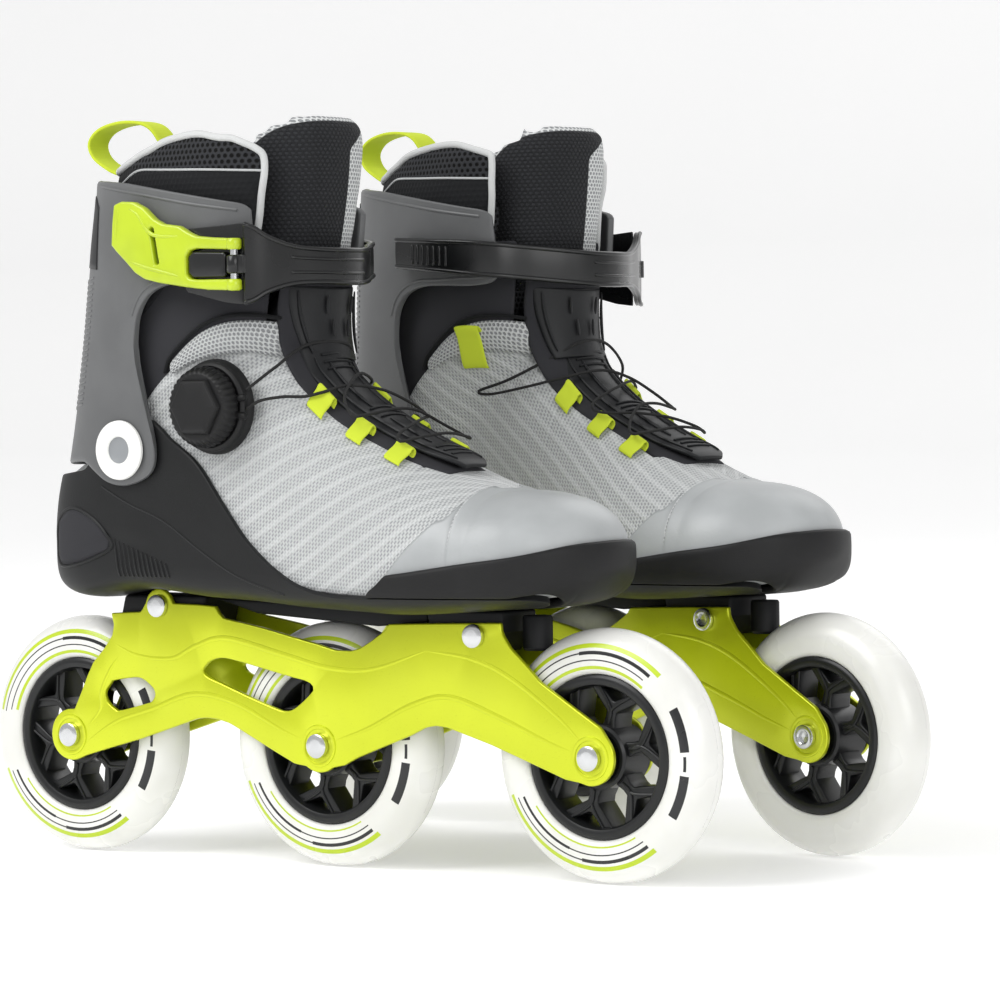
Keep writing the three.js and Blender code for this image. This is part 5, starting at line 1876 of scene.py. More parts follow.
    def lever(self) -> bpy.types.Mesh:
        """Make the lever: a broad finger plate, two prongs with eyes, a slot and raised creases."""
        s, tip = SOLE, self.pin[0]
        top = [(-85, 165.5), (-84.4, 175), (-83.2, 183.6), (-79, 185), (-72, 184.6), (-66, 181.8),
               (-60, 176.6), (-55, 174.2), (-46, 173), (-40.5, 170), (-36, 168.2), (-27, 167.3), (tip, 166.6)]
        inside = [(tip, 161.6), (-36, 162.6), (-40, 161.9), (-42, 159.4), (-42, 151.6), (-40, 149.4),
                  (-36, 148.9), (tip, 148.6)]
        bottom = [(tip, 143.6), (-30, 144.2), (-42, 145.6), (-58, 148.0), (-66, 149.8), (-71.5, 152.8),
                  (-77, 158), (-82, 162.4), (-85, 165.5)]
        outline = np.array([(x, z + s) for x, z in [*top, *inside, *bottom]])
        outline = resample(outline, 230)[:-1]
        slot = resample([(-60, s + 156), (-57.5, s + 156.4), (-59, s + 164.5), (-60.5, s + 173),
                         (-63, s + 172.6), (-61.5, s + 164.5), (-60, s + 156)], 30)[:-1]
        inner = self.pin[1] + self.lever_thickness / 2
        body = slab(outline, inner - self.lever_thickness, inner, [slot], 1.1)
        face = inner - self.lever_thickness
        parts = [body]
        for path in ([(-74, 181.5), (-69, 178.5), (-63, 171), (-57, 168.8), (-46, 168.3)],
                     [(-74, 158), (-66, 155.4), (-58, 153.4), (-46, 150.6)],
                     [(-80.5, 181), (-81.8, 173), (-82.2, 168)]):
            line = resample(path, 30, True)
            at = np.stack([line[:, 0], np.full(30, face + 0.15), line[:, 1] + s], axis=1)
            parts.append(mesh_of("crease", tube(at, tapered(0.9, 30, 0.1), 8, 0.7, (0, -1, 0))))
        parts += [self.barrel(s + low, s + low + 5, 2.7) for low in (143.6, 161.6)]
        return tidied(joined(parts), 0.002)

    def build(self) -> None:
        """Make the pieces and set them in the skate."""
        add = self.skate.add
        add("ankle_strap", tidied(self.strap(), 0.005), GLOSS_BLACK, "cuff", "black_plastic", ["strap"], 50)
        add("strap_pad", self.pad(), GLOSS_BLACK, "cuff", "black_plastic", smooth=35)
        low, high = SOLE + 143.9, SOLE + 166.3
        pin = upright([(0.05, low), (1.5, low), (1.8, low + 0.3), (1.8, high - 0.3), (1.5, high),
                       (0.05, high)],
                      24, (*self.pin, 0))
        add("hinge_pin", tidied(pin, 0.002), POLISHED_STEEL, "cuff", "steel", ["buckle_pin"], 35)
        add("closing_lever", self.lever(), LEVER_LIME, "lever", "lime_plastic", ["buckle_lever"], 45)


@dataclass
class LaceDial:
    """The dial that winds the lace in: a round base, a ridged knob with a raised hexagon, and the lace."""

    skate: Skate
    middle: tuple[float, float] = (-38.0, SOLE + 92.4)
    base: float = -38.5
    radius: float = 16.5
    ridges: int = 36
    lift: float = 3.4
    lace: float = 0.7
    route: tuple = (
        (-17.4, -41.5, 96.5), (-8, -33, 106), (-3, -16, 116), (2, 6, 116.5), (-6, 22, 108), (-20, 34, 99),
        (-33, 40.5, 94), (-26, 39.6, 92.5), (-10, 33, 95.5), (4, 22.6, 99.5), (12, 4, 103), (17, -10, 99.5),
        (22, -22, 92), (30, -27, 84.5), (34, -22, 84.6), (38, -6, 87), (40, 8, 86), (46, 21, 79),
        (53, 28, 73.5), (57, 22, 74), (60, 3, 76), (58, -14, 74.6), (53, -23, 72.8), (50, -20, 76),
        (47, -4, 80.6), (41, 12, 82.8), (34, 24, 83), (29, 28, 85), (26, 22, 89.4), (24, 4, 95.4),
        (17, -12, 97.6), (10, -23, 94.6), (4, -27.6, 93), (-4, -33, 93), (-12, -39, 91.4), (-17.4, -41.5, 88))

    def turned(self, profile: Sequence[tuple[float, float]], sides: int = 64) -> bpy.types.Mesh:
        """Turn a (radius, depth out from the base) profile round the dial's axis."""
        return mesh_of("turned", [lathe([(r, self.base - out) for r, out in profile], sides, self.middle)])

    def housing(self) -> bpy.types.Mesh:
        """Make the base with its stepped rim, the skirt sewn to the upper and the two lace ports."""
        skirt = [(0.05, -2.5), (20.6, -2.5), (21.4, -1.2), (21.2, 0.4), (20.3, 1.4), (20.0, 2.2)]
        rim = [(20, 2.2), (20, 3.9), (19.3, 4.7), (18.4, 5.0), (17.6, 4.6), (9.4, 4.6), (9.4, 1.2),
               (0.05, 1.2)]
        ports = []
        for z in (4.1, -4.4):
            path = [(-38 + 16, -43.2, self.middle[1] + z * 0.8), (-17.6, -42.6, self.middle[1] + z)]
            ports.append(mesh_of("port", tube(resample(path, 6), 1.7, 12)))
        return joined([self.turned([*skirt, *rim]), *ports])

    def knob(self) -> bpy.types.Mesh:
        """Make the knob: ridges round it, a sloping shoulder and the raised hexagon."""
        rows = []
        turn = np.linspace(0, 2 * math.pi, self.ridges * 6 + 1)
        wave = 0.5 + 0.5 * np.cos(turn * self.ridges)
        corner = np.radians(30)
        flat = math.cos(corner) / np.cos((turn % (2 * corner)) - corner)
        profile = [(4.1, 5.5, 0), (17.4, 5.5, 0), (18.2, 6.2, 1), (18.3, 8.2, 1), (17.7, 10.4, 1),
                   (16.5, 12.3, 1), (15.1, 13.3, 0.4), (14.5, 13.4, 0)]
        for r, out, ridged in profile:
            rows.append((r - 0.75 * ridged * wave, out + 0 * turn))
        for r, out in ((14.1, 13.4), (13.9, 14.6), (13.2, 15.5), (12.4, 15.7), (11.2, 15.3), (6, 15.1),
                       (0.05, 15.1)):
            rows.append((r * flat, out + 0 * turn))
        points = np.array([np.stack([self.middle[0] + r * np.cos(turn), self.base - out,
                                     self.middle[1] + r * np.sin(turn)], axis=1) for r, out in rows])
        socket = [(4.1, 5.5), (4.1, 12.5), (0.05, 12.5)]
        return joined([mesh_of("knob", [Grid(points)]), self.turned(socket, 4 * 9)])

    def cord(self) -> bpy.types.Mesh:
        """Make the lace along its route."""
        points = np.array(self.route) + (0, 0, SOLE + self.lift)
        return mesh_of("lace", tube(resample(points, 320, True), self.lace, 8))

    def build(self) -> None:
        """Make the pieces and set them in the skate."""
        add = self.skate.add
        add("dial_base", tidied(self.housing(), 0.003), KNOB_RUBBER, "chassis", "black_plastic",
            ["dial_housing"], 35)
        add("ridged_knob", tidied(self.knob(), 0.003), KNOB_RUBBER, "knob", "black_rubber", ["dial_knob"], 32)
        reel = self.turned([(0.05, 1.5), (9, 1.5), (9, 2.0), (7, 2.4), (7, 3.5), (9, 3.9), (9, 4.4),
                            (3.2, 4.4), (3.2, 11.6), (2.8, 12.0), (0.05, 12.0)], 48)
        add("winding_reel", tidied(reel, 0.003), POLISHED_STEEL, "spool", "steel", ["lace_spool"], 35)
        add("lace_line", tidied(self.cord()), LACE_CORD, "chassis", "lace_cord", ["lace"], 80)


@dataclass
class PullLoop:
    """The ribbed webbing loop at the collar's back."""

    skate: Skate
    half: float = 7.0
    thickness: float = 1.6
    path: tuple = (
        (-118.9, 186), (-119.2, 198), (-129, 203), (-138, 209), (-140.5, 216), (-134, 222), (-120, 224.6),
        (-106, 222.4), (-98, 214), (-96.5, 206))

    def build(self) -> None:
        """Make the loop and set it in the skate."""
        line = resample(self.path, 110, True)
        across = np.linspace(-self.half, self.half, 13)
        lean = LEG.lean(line[:, 1])
        wave = 0.12 * np.sin(lengths(line) * 2 * math.pi / 1.9)
        ahead = np.gradient(line, axis=0)
        ahead /= np.linalg.norm(ahead, axis=1, keepdims=True)
        points = together((line[:, 0] - ahead[:, 1] * wave)[:, None], lean[:, None] + across[None],
            (line[:, 1] + ahead[:, 0] * wave)[:, None] + SOLE)
        chart = together(lengths(line)[:, None], across[None])
        mesh = tidied(mesh_of("loop", [Grid(points, chart.astype(float))]))
        piece = self.skate.add("webbing_loop", mesh, WEBBING, "cuff", "lime_webbing", ["pull_loop"])
        thicken(piece, self.thickness, 1, outward=0.0, rim=0.6)


@dataclass
class Hardware:
    """The axles and the frame bolts: round heads on the outer side, six-sided sockets on the inner side."""

    skate: Skate
    face: float = 16.45

    def screw(self, x: float, z: float, head: float, tall: float, shaft: float) -> bpy.types.Mesh:
        """Turn one bolt that goes through both plates.

        Args:
            x: Its place along the skate.
            z: Its height over the ground.
            head: The radius of its heads.
            tall: How far they stand out.
            shaft: The radius of its shaft.

        Returns:
            The bolt.
        """
        low, high = -self.face - tall, self.face + tall
        turn = np.linspace(0, 2 * math.pi, 49)
        flat = math.cos(math.pi / 6) / np.cos((turn % (math.pi / 3)) - math.pi / 6)
        rows = [(0.02, low - 0.15), (head * 0.5, low - 0.12), (head - 0.8, low), (head - 0.15, low + 0.35),
                (head, low + 0.9), (head, -self.face), (shaft, -self.face), (shaft, self.face),
                (head, self.face), (head, high - 0.6), (head - 0.2, high - 0.2), (head - 0.7, high),
                (3.4, high), (3.1, high - 0.2)]
        rows += [(r * flat, y) for r, y in ((2.9, high - 0.5), (2.85, high - 1.7), (0.02, high - 1.9))]
        points = [together(x + r * np.cos(turn), y, z + r * np.sin(turn)) for r, y in rows]
        return tidied(mesh_of("screw", [Grid(np.array(points))]), 0.003)

    def build(self) -> None:
        """Make the pieces and set them in the skate."""
        for place, x in AXLES:
            axle = self.screw(x, Frame.axle, 5.5, 2.4, 4.0)
            self.skate.add(f"wheel_axle_{place}", axle, POLISHED_STEEL, "chassis", "steel", [f"axle_{place}"],
                           32)
        for place, (x, z) in (("rear", Frame.rear_bolt), ("front", Frame.front_bolt)):
            bolt = self.screw(x, z, 5.25, 2.2, 3.0)
            self.skate.add(f"mounting_bolt_{place}", bolt, POLISHED_STEEL, "chassis", "steel",
                           [f"frame_bolt_{place}"], 32)


# ---- padded liner -----------------------------------------------------------------------------------------------
def wrapped(mesh: bpy.types.Mesh) -> bpy.types.Mesh:
    """Chart a remeshed pad: millimetres round the leg, and height."""
    middle, reach = (-60, 4), 45
    whole = 2 * math.pi * reach
    x, y, z = places_of(mesh).T
    u = np.arctan2(y - middle[1], x - middle[0]) * reach
    layer = mesh.uv_layers.get("Chart") or mesh.uv_layers.new(name="Chart")
    for face in mesh.polygons:
        own = u[list(face.vertices)]
        if own.max() - own.min() > whole / 2:
            own = np.where(own < 0, own + whole, own)
        for corner, value, vertex in zip(face.loop_indices, own, face.vertices):
            layer.data[corner].uv = (value, z[vertex])
    return mesh


def inflated(mesh: bpy.types.Mesh, voxel: float, pressure: float, cap: float) -> bpy.types.Mesh:
    """Puff a closed shape up as cloth under pressure, and return its mesh.

    Args:
        mesh: The slightly smaller shape, in millimetres.
        voxel: The remesh size in millimetres.
        pressure: The air pressure.
        cap: How far a point may move, in millimetres.

    Returns:
        The puffed mesh, in millimetres.
    """
    scene = bpy.context.scene
    mesh.transform(TO_METRES)
    pad = bpy.data.objects.new("pad", mesh)
    scene.collection.objects.link(pad)
    remesh = pad.modifiers.new("remesh", "REMESH")
    remesh.mode = "VOXEL"
    remesh.voxel_size = voxel / 1000
    graph = bpy.context.evaluated_depsgraph_get()
    even = bpy.data.meshes.new_from_object(pad.evaluated_get(graph))
    pad.modifiers.clear()
    pad.data = even
    before = after = places_of(even)
    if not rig.quick():
        cloth = pad.modifiers.new("cloth", "CLOTH")
        cloth.settings.use_pressure = True
        cloth.settings.uniform_pressure_force = pressure
        cloth.settings.effector_weights.gravity = 0
        cloth.settings.quality = 5
        for number in range(1, CLOTH_FRAMES + 1):
            scene.frame_set(number)
        after = places_of(pad.evaluated_get(bpy.context.evaluated_depsgraph_get()).data)
        pad.modifiers.clear()
        scene.frame_set(1)
    step = after - before
    far = np.linalg.norm(step, axis=1, keepdims=True)
    step *= np.minimum(1, cap / 1000 / np.maximum(far, 1e-9))
    even.vertices.foreach_set("co", (before + step).ravel())
    even.transform(TO_MILLIMETRES)
    even.materials.clear()
    bpy.data.objects.remove(pad)
    return even


@dataclass(frozen=True)
class TwoCloth(Finish):
    """Two cloths that meet along the edge of a charted zone: open mesh in it, another cloth outside it."""

    inside: SpacerMesh = BLACK_MESH
    outside: Colour = BLACK_CLOTH.light
    weave: float = 0.2

    def build(self) -> bpy.types.Material:
        """Make the material."""
        graph = Graph(self.name)
        chart = graph.node("ShaderNodeUVMap", {"uv_map": "Zone"}, {})
        zone = graph.node("ShaderNodeSeparateXYZ", {}, {0: chart}).ramp(-0.25, 0.25)
        solid = self.inside.holes(graph)
        fibre = graph.noise(graph.place(), 1600.0)
        mesh = graph.mix(solid, self.inside.dark, self.inside.light)
        plain = graph.mix(solid * self.weave + fibre * 0.2, self.outside,
                          tuple(c * 0.5 for c in self.outside))
        colour = graph.mix(zone, plain, mesh)
        relief = solid * (zone * (1 - self.weave) + self.weave)
        return graph.finish(colour, 0.86 - solid * 0.06, relief, 0.0008, Sheen_Weight=0.03,
                            Specular_IOR_Level=0.2)


COLLAR_CLOTH = TwoCloth("collar_cloth")
TONGUE_CLOTH = TwoCloth("tongue_cloth", GREY_MESH, BLACK_MESH.light, 1.0)


PADS: dict[str, bpy.types.Mesh] = {}
"""The puffed pads, kept so that the second skate doesn't simulate them again."""


@dataclass
class Liner:
    """The padded collar, the padded tongue with its guard, and the cloth between them and the upper."""

    skate: Skate
    collar_low: Smooth = Smooth((-150, 96), (-110, 98), (-90, 104), (-70, 124), (-50, 147), (-30, 151),
                                (0, 152))
    collar_high: Smooth = Smooth(
        (-125, 203), (-110, 204), (-97, 207.5), (-86, 212.5), (-74, 216.5), (-60, 219), (-45, 219),
        (-33, 217), (-22, 212.5), (-12, 205), (-5, 195), (0, 182))
    tongue_low: float = 142.0
    tongue_top: float = 224.0
    guard_line: tuple = (
        (78, 65.5, 8, 0.6), (73, 69.2, 12.5, 1), (58, 75.4, 15, 2.6), (46, 81, 15.4, 3.2), (34, 87.4, 16, 4),
        (24, 93.3, 16.6, 4.6), (15, 99.8, 17, 5), (8, 106.4, 17.2, 5.6), (3.5, 112, 17.5, 6.2),
        (0, 121, 18, 7))

    def collar_x(self, turn: Array) -> Array:
        """Return where along the foot the collar is, at angles round the leg."""
        return LEG.at(turn, np.full(len(turn), 180.0))[:, 0]

    def collar_section(self, turn: Array, shrink: float) -> Array:
        """Find the collar's section at angles round the leg.

        Args:
            turn: Angles from the rear in degrees, negative on the outer side.
            shrink: How much smaller it is all round.

        Returns:
            Rows of points round the section, for each angle.
        """
        x = self.collar_x(turn)
        low, high = self.collar_low(x) + shrink, self.collar_high(x) - shrink
        rows = []
        outer, inner = -0.6 - shrink, -8.4 + shrink
        middle = (outer + inner) / 2
        half = (outer - inner) / 2
        for up, out in ((0, 0), (0.02, 0.7), (0.06, 1), (0.2, 1), (0.4, 1), (0.6, 1), (0.8, 1), (0.9, 1),
                        (0.96, 0.85), (0.99, 0.5), (1, 0), (0.99, -0.5), (0.96, -0.85), (0.9, -1), (0.8, -1),
                        (0.6, -1), (0.4, -1), (0.2, -1), (0.06, -1), (0.02, -0.7), (0, 0)):
            height = low + (high - low) * up
            rows.append(LEG.at(turn, height, middle + half * out))
        return np.array(rows)

    def collar(self) -> bpy.types.Mesh:
        """Make the collar's pad, puffed up."""
        shrink = 1.2
        turn = np.linspace(-134, 127, 90)
        points = over_sole(self.collar_section(turn, shrink))
        ends = []
        for i in (0, -1):
            ring = points[:, i]
            count = len(ring) // 2
            ends.append(Grid(np.stack([ring[: count + 1], ring[count:][::-1]])))
        shape = tidied(mesh_of("collar", [Grid(points), *ends]), 0.01)
        return wrapped(inflated(shape, voxel=4.0, pressure=4.0, cap=2.6))

    def strip(self, line: Sequence, count: int, columns: int, drift: bool) -> tuple[Array, Array]:
        """Spread a bowed strip over a side view line.

        Args:
            line: Its (x, height, half width, bow).
            count: How many rows.
            columns: How many points go across.
            drift: Whether it leans inwards with the leg.

        Returns:
            The points and the outward direction of each row.
        """
        spread = resample(line, count, True)
        ahead = np.gradient(spread[:, :2], axis=0)
        ahead /= np.linalg.norm(ahead, axis=1, keepdims=True)
        out = np.stack([ahead[:, 1], np.zeros(count), -ahead[:, 0]], axis=1)
        out *= np.sign(out[:, :1] + out[:, 2:])
        share = np.linspace(-1, 1, columns)
        middle = np.stack([spread[:, 0], LEG.lean(spread[:, 1]) if drift else 0 * spread[:, 1], spread[:, 1]],
                          axis=1)
        points = (middle[:, None] + np.array([0, 1.0, 0]) * (share[None] * spread[:, 2:3])[..., None]
                  - out[:, None] * (spread[:, 3:4] * share[None] ** 2)[..., None])
        return over_sole(points), out

    def round_leg(self, span: Array, height: Array, grow: Array) -> Array:
        """Find points round the leg; the span counts degrees from its front, positive to the inner side."""
        return over_sole(LEG.at(180 - span, height, grow))

    def tongue(self) -> bpy.types.Mesh:
        """Make the tongue's pad, puffed up: it hugs the leg and tucks in under the collar."""
        rows, columns = 30, 25
        share = np.linspace(-1, 1, columns)[None, :]
        rise = np.linspace(0, 1, rows)[:, None]
        wide = 46 + 24 * rise
        top = self.tongue_top - 20 * np.abs(share) ** 3.2
        height = self.tongue_low + (top - self.tongue_low) * rise
        tuck = -9.6 * np.clip((np.abs(share) * wide - 22) / 30, 0, 1) ** 0.8
        roll = -5.5 * np.clip((rise - 0.86) / 0.14, 0, 1) ** 2
        edge = (np.clip(1 - np.abs(share) ** 8, 0, 1) ** 0.5
                * np.clip(np.minimum(rise, 1 - rise) * 14, 0.1, 1) ** 0.5)
        out = -1.2 + tuck + roll
        half = 3.4 * np.maximum(edge, 0.12)
        front = self.round_leg(share * wide, height, out - 3.4 + half)
        back = self.round_leg(share * wide, height, out - 3.4 - half)
        ring = np.concatenate([front, back[:, ::-1], front[:, :1]], axis=1)
        caps = [Grid(np.stack([front[i], back[i]])) for i in (0, -1)]
        shape = tidied(mesh_of("tongue", [Grid(ring), *caps]), 0.01)
        return wrapped(inflated(shape, voxel=4.0, pressure=4.0, cap=2.4))

    def tongue_zone(self, x: Array, y: Array, height: Array) -> Array:
        """Return how far places are inside the tongue's pale sides and its rolled top, in millimetres."""
        span = np.degrees(np.arctan2(y - LEG.lean(height), x - LEG.middle(height) - 14))
        dark = 40 + 20 * np.clip((height - 208) / 8, 0, 1)
        top = self.tongue_top - 20 * np.clip(np.abs(span) / 75, 0, 1) ** 3.2
        middle = 36 if self.skate.mirrored else -36
        return np.maximum((np.abs(span - middle) - dark) * 0.8, height - (top - 4.5))

    def collar_zone(self, x: Array, y: Array, height: Array) -> Array:
        """Return how far places are inside the collar's mesh: the band over the seam, and the lining."""
        reach = np.hypot((x - LEG.middle(195.0)) / 58, (y - LEG.lean(195.0)) / 40)
        return np.maximum(height - self.seam_height(x), (1 - reach) * 40)

    def seam_height(self, x: Array) -> Array:
        """Return the height of the collar's seam."""
        return 199 - (x + 60) * 0.05

    def zoned(self, mesh: bpy.types.Mesh, zone: Callable[[Array, Array, Array], Array]) -> bpy.types.Mesh:
        """Chart how far each corner is inside a zone, for a finish of two cloths."""
        x, y, z = places_of(mesh).T
        depth = zone(x, y, z - SOLE)
        chart_points(mesh, "Zone", together(depth, 0 * depth))
        return mesh

    def guard(self) -> bpy.types.Mesh:
        """Make the moulded guard down the tongue's front."""
        points, _ = self.strip(self.guard_line, 60, 17, False)
        return tidied(mesh_of("guard", [Grid(points)]))

    def guard_trim(self) -> bpy.types.Mesh:
        """Make the guard's raised rails and its cross ridges, grouped between the lace's crossings."""
        points, out = self.strip(self.guard_line, 120, 41, False)
        bars = []
        for column, start, end in ((5, 8, 112), (35, 8, 112), (13, 30, 60), (27, 30, 60), (12, 70, 108),
                                   (28, 70, 108)):
            line = points[start:end, column] + out[start:end] * 0.35
            bars.append(mesh_of("rail", tube(line, tapered(0.9, end - start, 0.15), 8)))
        for row in (14, 19, 24, 62, 66, 70, 104, 108, 112):
            line = points[row, 9:32] + out[row] * 0.3
            bars.append(mesh_of("ridge", tube(line, 0.6, 8)))
        return joined(bars)

    def bridge(self, low: float, high: float, turns: tuple[float, float], grow: float, bulge: float) -> Grid:
        """Make cloth round the leg, which runs under the collar's and the upper's edges."""
        turn = np.linspace(*turns, 70)
        rows = []
        for share in np.linspace(0, 1, 26):
            height = np.full(70, low + (high - low) * share)
            rows.append(LEG.at(turn, height, grow + bulge * math.sin(math.pi * share)))
        chart = together(turn[None] * 0.75, np.linspace(low, high, 26)[:, None])
        return Grid(over_sole(np.array(rows)), chart)

    def instep(self) -> Grid:
        """Make the tongue's lower cloth, from the toes up under the guard to the pad."""
        line = ((74, 63, 14, 2.5), (58, 71, 20, 4.5), (34, 83, 22, 6), (15, 95, 23, 7), (3, 107, 24, 8),
                (-3, 121, 25, 10), (-3, 134, 25, 12), (0, 146, 25, 13), (2.6, 156, 25, 14))
        points, _ = self.strip(line, 60, 21, True)
        lean = np.clip((points[..., 2] - SOLE - 60) / 80, 0, 1)
        points[..., 1] -= (LEG.lean(points[..., 2] - SOLE)) * (1 - lean)
        chart = together(np.linspace(-24, 24, 21)[None], lengths(points[:, 10])[:, None])
        return Grid(points, chart)

    def patch(self, side: int) -> Grid:
        """Make the light padded patch over the upper's top edge at the ankle.

        Args:
            side: -1 for the outer side and 1 for the inner side.

        Returns:
            The sheet.
        """
        top = [(-63, 113), (-54, 121), (-45, 127), (-34, 130.6), (-20, 131), (-6, 128)]
        base = [(-61, 107), (-50, 112), (-38, 115), (-25, 116), (-12, 113), (-3, 108)]
        upper, lower = resample(top, 40, True), resample(base, 40, True)
        rows = []
        for share in np.linspace(0, 1, 14):
            line = lower * (1 - share) + upper * share
            grow = 0.6 + 2.6 * math.sin(math.pi * (0.12 + 0.88 * share)) ** 0.7 - 1.2 * share
            turn = LEG.turn_at(line[:, 0], line[:, 1], grow) * side
            rows.append(LEG.at(turn, line[:, 1], grow))
        chart = together(upper[None, :, 0], np.linspace(0, 14, 14)[:, None])
        return Grid(over_sole(np.array(rows)), chart)

    def piping(self, pad: bpy.types.Mesh, path: Array, radius: float) -> bpy.types.Mesh:
        """Lay piping on a pad.

        Args:
            pad: The pad's mesh in millimetres.
            path: Points near its surface.
            radius: The piping's radius.

        Returns:
            The piping.
        """
        verts = [v.co for v in pad.vertices]
        tree = BVHTree.FromPolygons(verts, [tuple(f.vertices) for f in pad.polygons])
        laid = []
        for point in path:
            near, normal, _, _ = tree.find_nearest(Vector(point))
            laid.append(near + normal * radius * 0.35)
        line = np.array(laid)
        for _ in range(6):
            line[1:-1] = (line[:-2] + line[1:-1] * 2 + line[2:]) / 4
        return mesh_of("piping", tube(resample(line, len(line) * 2, True), radius, 10))

    def cuffward(self, piece: bpy.types.Object, low: tuple, high: tuple) -> None:
        """Let a piece of cloth follow the shell below one place and the cuff above another."""
        name, point = self.skate.name, self.skate.point
        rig.blend(piece, name("chassis"), name("cuff"), start=point(low), end=point(high))

    def pad(self, make: Callable[[], bpy.types.Mesh],
            zone: Callable[[Array, Array, Array], Array]) -> bpy.types.Mesh:
        """Return a copy of a pad, which is simulated once for both skates.

        Args:
            make: The way to make it.
            zone: The zone of its second cloth.

        Returns:
            The pad.
        """
        if make.__name__ not in PADS:
            PADS[make.__name__] = make()
        return self.zoned(PADS[make.__name__].copy(), zone)

    def build(self) -> None:
        """Make the pieces and set them in the skate."""
        add = self.skate.add
        collar = self.pad(self.collar, self.collar_zone)
        turn = np.linspace(-131, 124, 120)
        x = self.collar_x(turn)
        top = over_sole(LEG.at(turn, self.collar_high(x) - 1.5, 1.5))
        seam = over_sole(LEG.at(turn, np.minimum(self.collar_high(x) - 12, self.seam_height(x)), 1.5))
        front = [over_sole(LEG.at(np.full(30, t), np.linspace(152, self.collar_high(x[i]) - 2, 30), 1.2))
                 for t, i in ((-132.5, 0), (125.5, -1))]
        edge = np.vstack([front[0], top, front[1][::-1]])
        cord = self.piping(collar, edge, 1.7)
        stitches = self.piping(collar, seam, 0.55)
        piece = add("padded_collar", collar, COLLAR_CLOTH, "cuff", "black_mesh", ["collar"], 80)
        round_off(piece, 1)
        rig.padded(piece, fill=0.8)
        add("collar_piping", cord, PIPING, "cuff", "light_mesh", smooth=80)
        add("collar_seam", stitches, GREY_CLOTH, "cuff", "light_mesh", smooth=80)

        pad = self.pad(self.tongue, self.tongue_zone)
        tongue = add("padded_tongue", pad, TONGUE_CLOTH, "cuff", "black_mesh", ["tongue"], 80)
        round_off(tongue, 1)
        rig.padded(tongue, fill=0.75)
        guard = add("tongue_shield", self.guard(), DARK_TRIM, "chassis", "black_plastic", ["tongue_guard"])
        thicken(guard, 2.2, 1, rim=0.5)
        add("shield_ridges", self.guard_trim(), DARK_TRIM, "chassis", "black_plastic")
        points, out = self.strip(((3.5, 113, 17.5, 6.2), (1.6, 123, 20, 8.5), (1.2, 134, 22.5, 11),
                                  (2.4, 145, 24, 13)),
                                 26, 17, True)
        plate = mesh_of("plate", [Grid(points)])
        bars = [tube(points[start:end, column] + out[start:end] * 1.2,
                     tapered(0.8, end - start, 0.2), 8)
                for column, start, end in ((1, 3, 24), (15, 3, 24), (6, 8, 15), (10, 8, 15), (5, 16, 23),
                                           (11, 16, 23))]
        shield = add("upper_shield", tidied(plate), DARK_TRIM, "", "black_plastic")
        thicken(shield, 2.0, 1, outward=1.0, rim=0.5)
        ridges = add("upper_shield_ridges", joined([mesh_of("bar", bar) for bar in bars]), DARK_TRIM, "",
                     "black_plastic")
        for made in (shield, ridges):
            self.cuffward(made, (20, 0, SOLE + 100), (2, 0, SOLE + 142))
        instep = add("tongue_cloth", tidied(mesh_of("instep", [self.instep()])), BLACK_MESH, "", "black_mesh")
        thicken(instep, 2.4, 1, outward=0.0)
        self.cuffward(instep, (20, 0, SOLE + 100), (2, 0, SOLE + 142))
        bridge = tidied(mesh_of("bridge", [self.bridge(70, 168, (-140, 140), -1.4, 0.8)]))
        cloth = add("ankle_cloth", bridge, BLACK_MESH, "", "black_mesh")
        thicken(cloth, 2.2, 1, outward=-1.0)
        self.cuffward(cloth, (-80, 0, SOLE + 96), (-80, 0, SOLE + 150))
        for side, word in ((-1, "outer"), (1, "inner")):
            patch = add(f"ankle_patch_{word}", tidied(mesh_of("patch", [self.patch(side)])), GREY_MESH, "",
                        "light_mesh")
            thicken(patch, 2.0, 1, outward=-1.0)
            line = resample([(-66, 108), (-63, 114.5), (-54, 122.6), (-45, 128.8), (-34, 132.6), (-22, 133),
                             (-13, 131.4)],
                            60, True)
            at = over_sole(LEG.at(LEG.turn_at(line[:, 0], line[:, 1], 0.6) * side, line[:, 1], 0.6))
            cord = add(f"patch_piping_{word}", mesh_of("piping", tube(at, 0.9, 10)), BLACK_CLOTH, "",
                       "black_mesh")
            self.cuffward(patch, (-35, 0, SOLE + 118), (-30, 0, SOLE + 150))
            self.cuffward(cord, (-35, 0, SOLE + 118), (-30, 0, SOLE + 150))


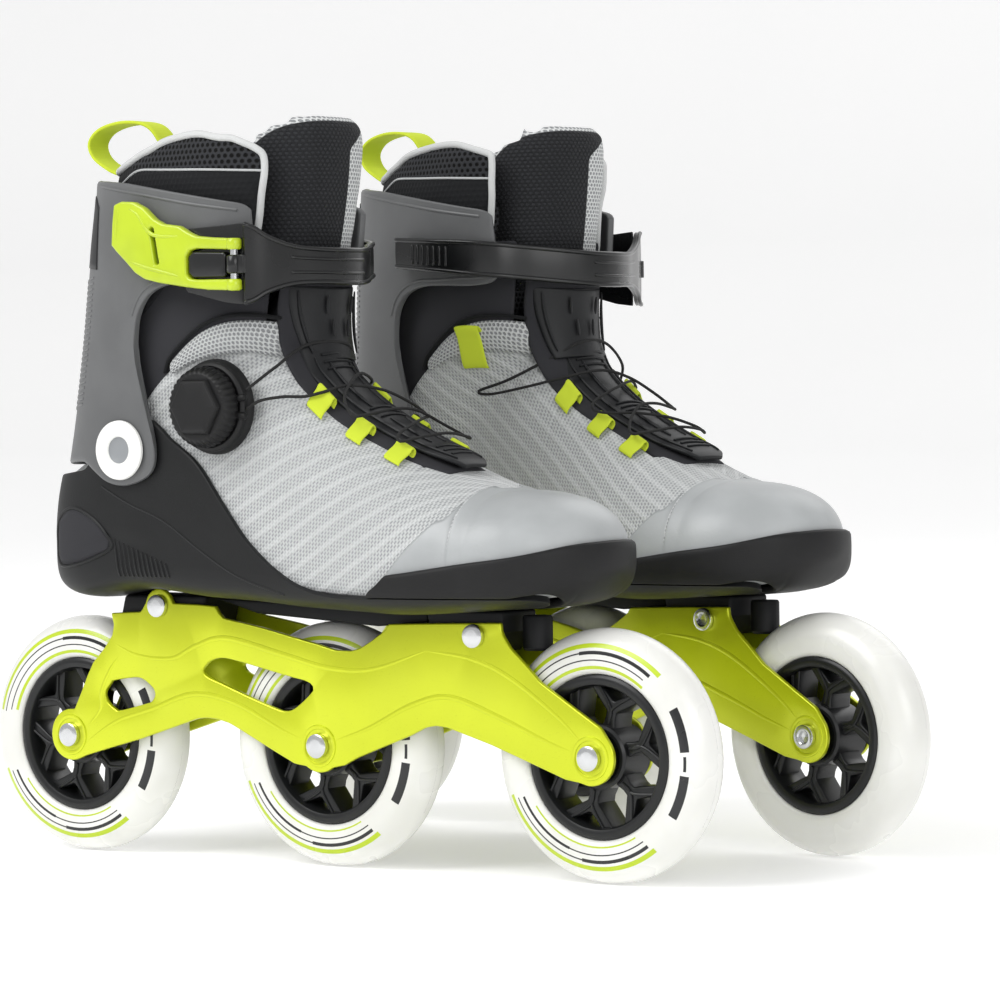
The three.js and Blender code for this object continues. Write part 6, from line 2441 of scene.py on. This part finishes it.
# ---- the studio -------------------------------------------------------------------------------------------------
@dataclass
class Studio:
    """The pale floor, the soft lights and the camera."""

    azimuth: float = 35.062
    elevation: float = 1.584
    roll: float = -0.897
    distance: float = 1.8123
    lens: float = 149.53
    aim: tuple[float, float, float] = (89.518, 0.0, 164.584)
    glow: float = 0.3

    def camera(self) -> None:
        """Set the camera, aimed at a place given in the right skate's own millimetres."""
        turn, rise, roll = (math.radians(a) for a in (self.azimuth, self.elevation, self.roll))
        back = Vector((math.sin(turn) * math.cos(rise), -math.cos(turn) * math.cos(rise), math.sin(rise)))
        right = Vector((math.cos(turn), math.sin(turn), 0))
        up = back.cross(right)
        across = right * math.cos(roll) + up * math.sin(roll)
        upward = up * math.cos(roll) - right * math.sin(roll)
        data = bpy.data.cameras.new("camera")
        data.lens = self.lens
        data.sensor_width = 36.0
        data.clip_start = 0.05
        made = bpy.data.objects.new("camera", data)
        target = Vector(Skate(Side.RIGHT).point(self.aim))
        place = Matrix((across, upward, back)).transposed().to_4x4()
        made.matrix_world = Matrix.Translation(target + back * self.distance) @ place
        bpy.context.scene.collection.objects.link(made)
        bpy.context.scene.camera = made

    def light(self, name: str, place: tuple[float, float, float], size: float, power: float) -> None:
        """Hang a round soft light that faces the skates."""
        data = bpy.data.lights.new(name, "AREA")
        data.shape = "DISK"
        data.size = size
        data.energy = power
        made = bpy.data.objects.new(name, data)
        made.location = place
        made.rotation_euler = (Vector((0, 0, 0.15)) - Vector(place)).to_track_quat("-Z", "Y").to_euler()
        bpy.context.scene.collection.objects.link(made)

    def floor(self) -> None:
        """Lay the floor, which curves up far behind."""
        rows = [(-8.0, 0.0), (4.0, 0.0), (5.0, 0.08), (5.8, 0.5), (6.2, 1.2), (6.3, 6.0)]
        points = [(x, y, z) for y, z in rows for x in (-9.0, 9.0)]
        mesh = bpy.data.meshes.new("floor")
        mesh.from_pydata(points, [], [(2 * i, 2 * i + 1, 2 * i + 3, 2 * i + 2) for i in range(len(rows) - 1)])
        mesh.transform(Matrix.Translation((0, 0, -0.0004)))
        mesh.shade_smooth()
        graph = Graph("pale_floor")
        cloud = graph.noise(graph.place(), 1.5)
        mesh.materials.append(graph.finish(graph.mix(cloud, tint("F1F1F1"), tint("EDEDED")),
                                           0.75 + (cloud - 0.5) * 0.1, Emission_Color=(1.0, 1.0, 1.0),
                                           Emission_Strength=self.glow))
        made = bpy.data.objects.new("floor", mesh)
        bpy.context.scene.collection.objects.link(made)
        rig.stage(made)

    def build(self) -> None:
        """Set everything up."""
        self.camera()
        self.floor()
        self.light("key", (-0.9, -1.9, 2.1), 1.8, 46)
        self.light("fill", (2.3, -1.6, 1.2), 1.6, 20)
        self.light("back", (0.2, 2.2, 2.4), 2.2, 16)
        world = bpy.data.worlds.new("studio")
        world.use_nodes = True
        world.node_tree.nodes["Background"].inputs["Color"].default_value = (1.0, 1.0, 1.0, 1.0)
        world.node_tree.nodes["Background"].inputs["Strength"].default_value = 0.6
        bpy.context.scene.world = world
        bpy.context.scene.view_settings.view_transform = "Standard"


def main() -> None:
    """Build the studio and both skates."""
    logging.basicConfig(level=logging.INFO, format="%(name)s %(message)s")
    Studio().build()
    for side in Side:
        skate = Skate(side)
        for place, middle in AXLES:
            Wheel(skate, place, middle).build()
        for part in (Frame, LowerShell, KnitUpper, Cuff, AnkleStrap, LaceDial, PullLoop, Hardware, Liner):
            part(skate).build()
    with open("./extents.json", "w", encoding="utf-8") as out:
        json.dump([[list(corner) for corner in box] for box in (CAD_BOX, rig.bounds())], out)


if __name__ == "__main__":
    main()
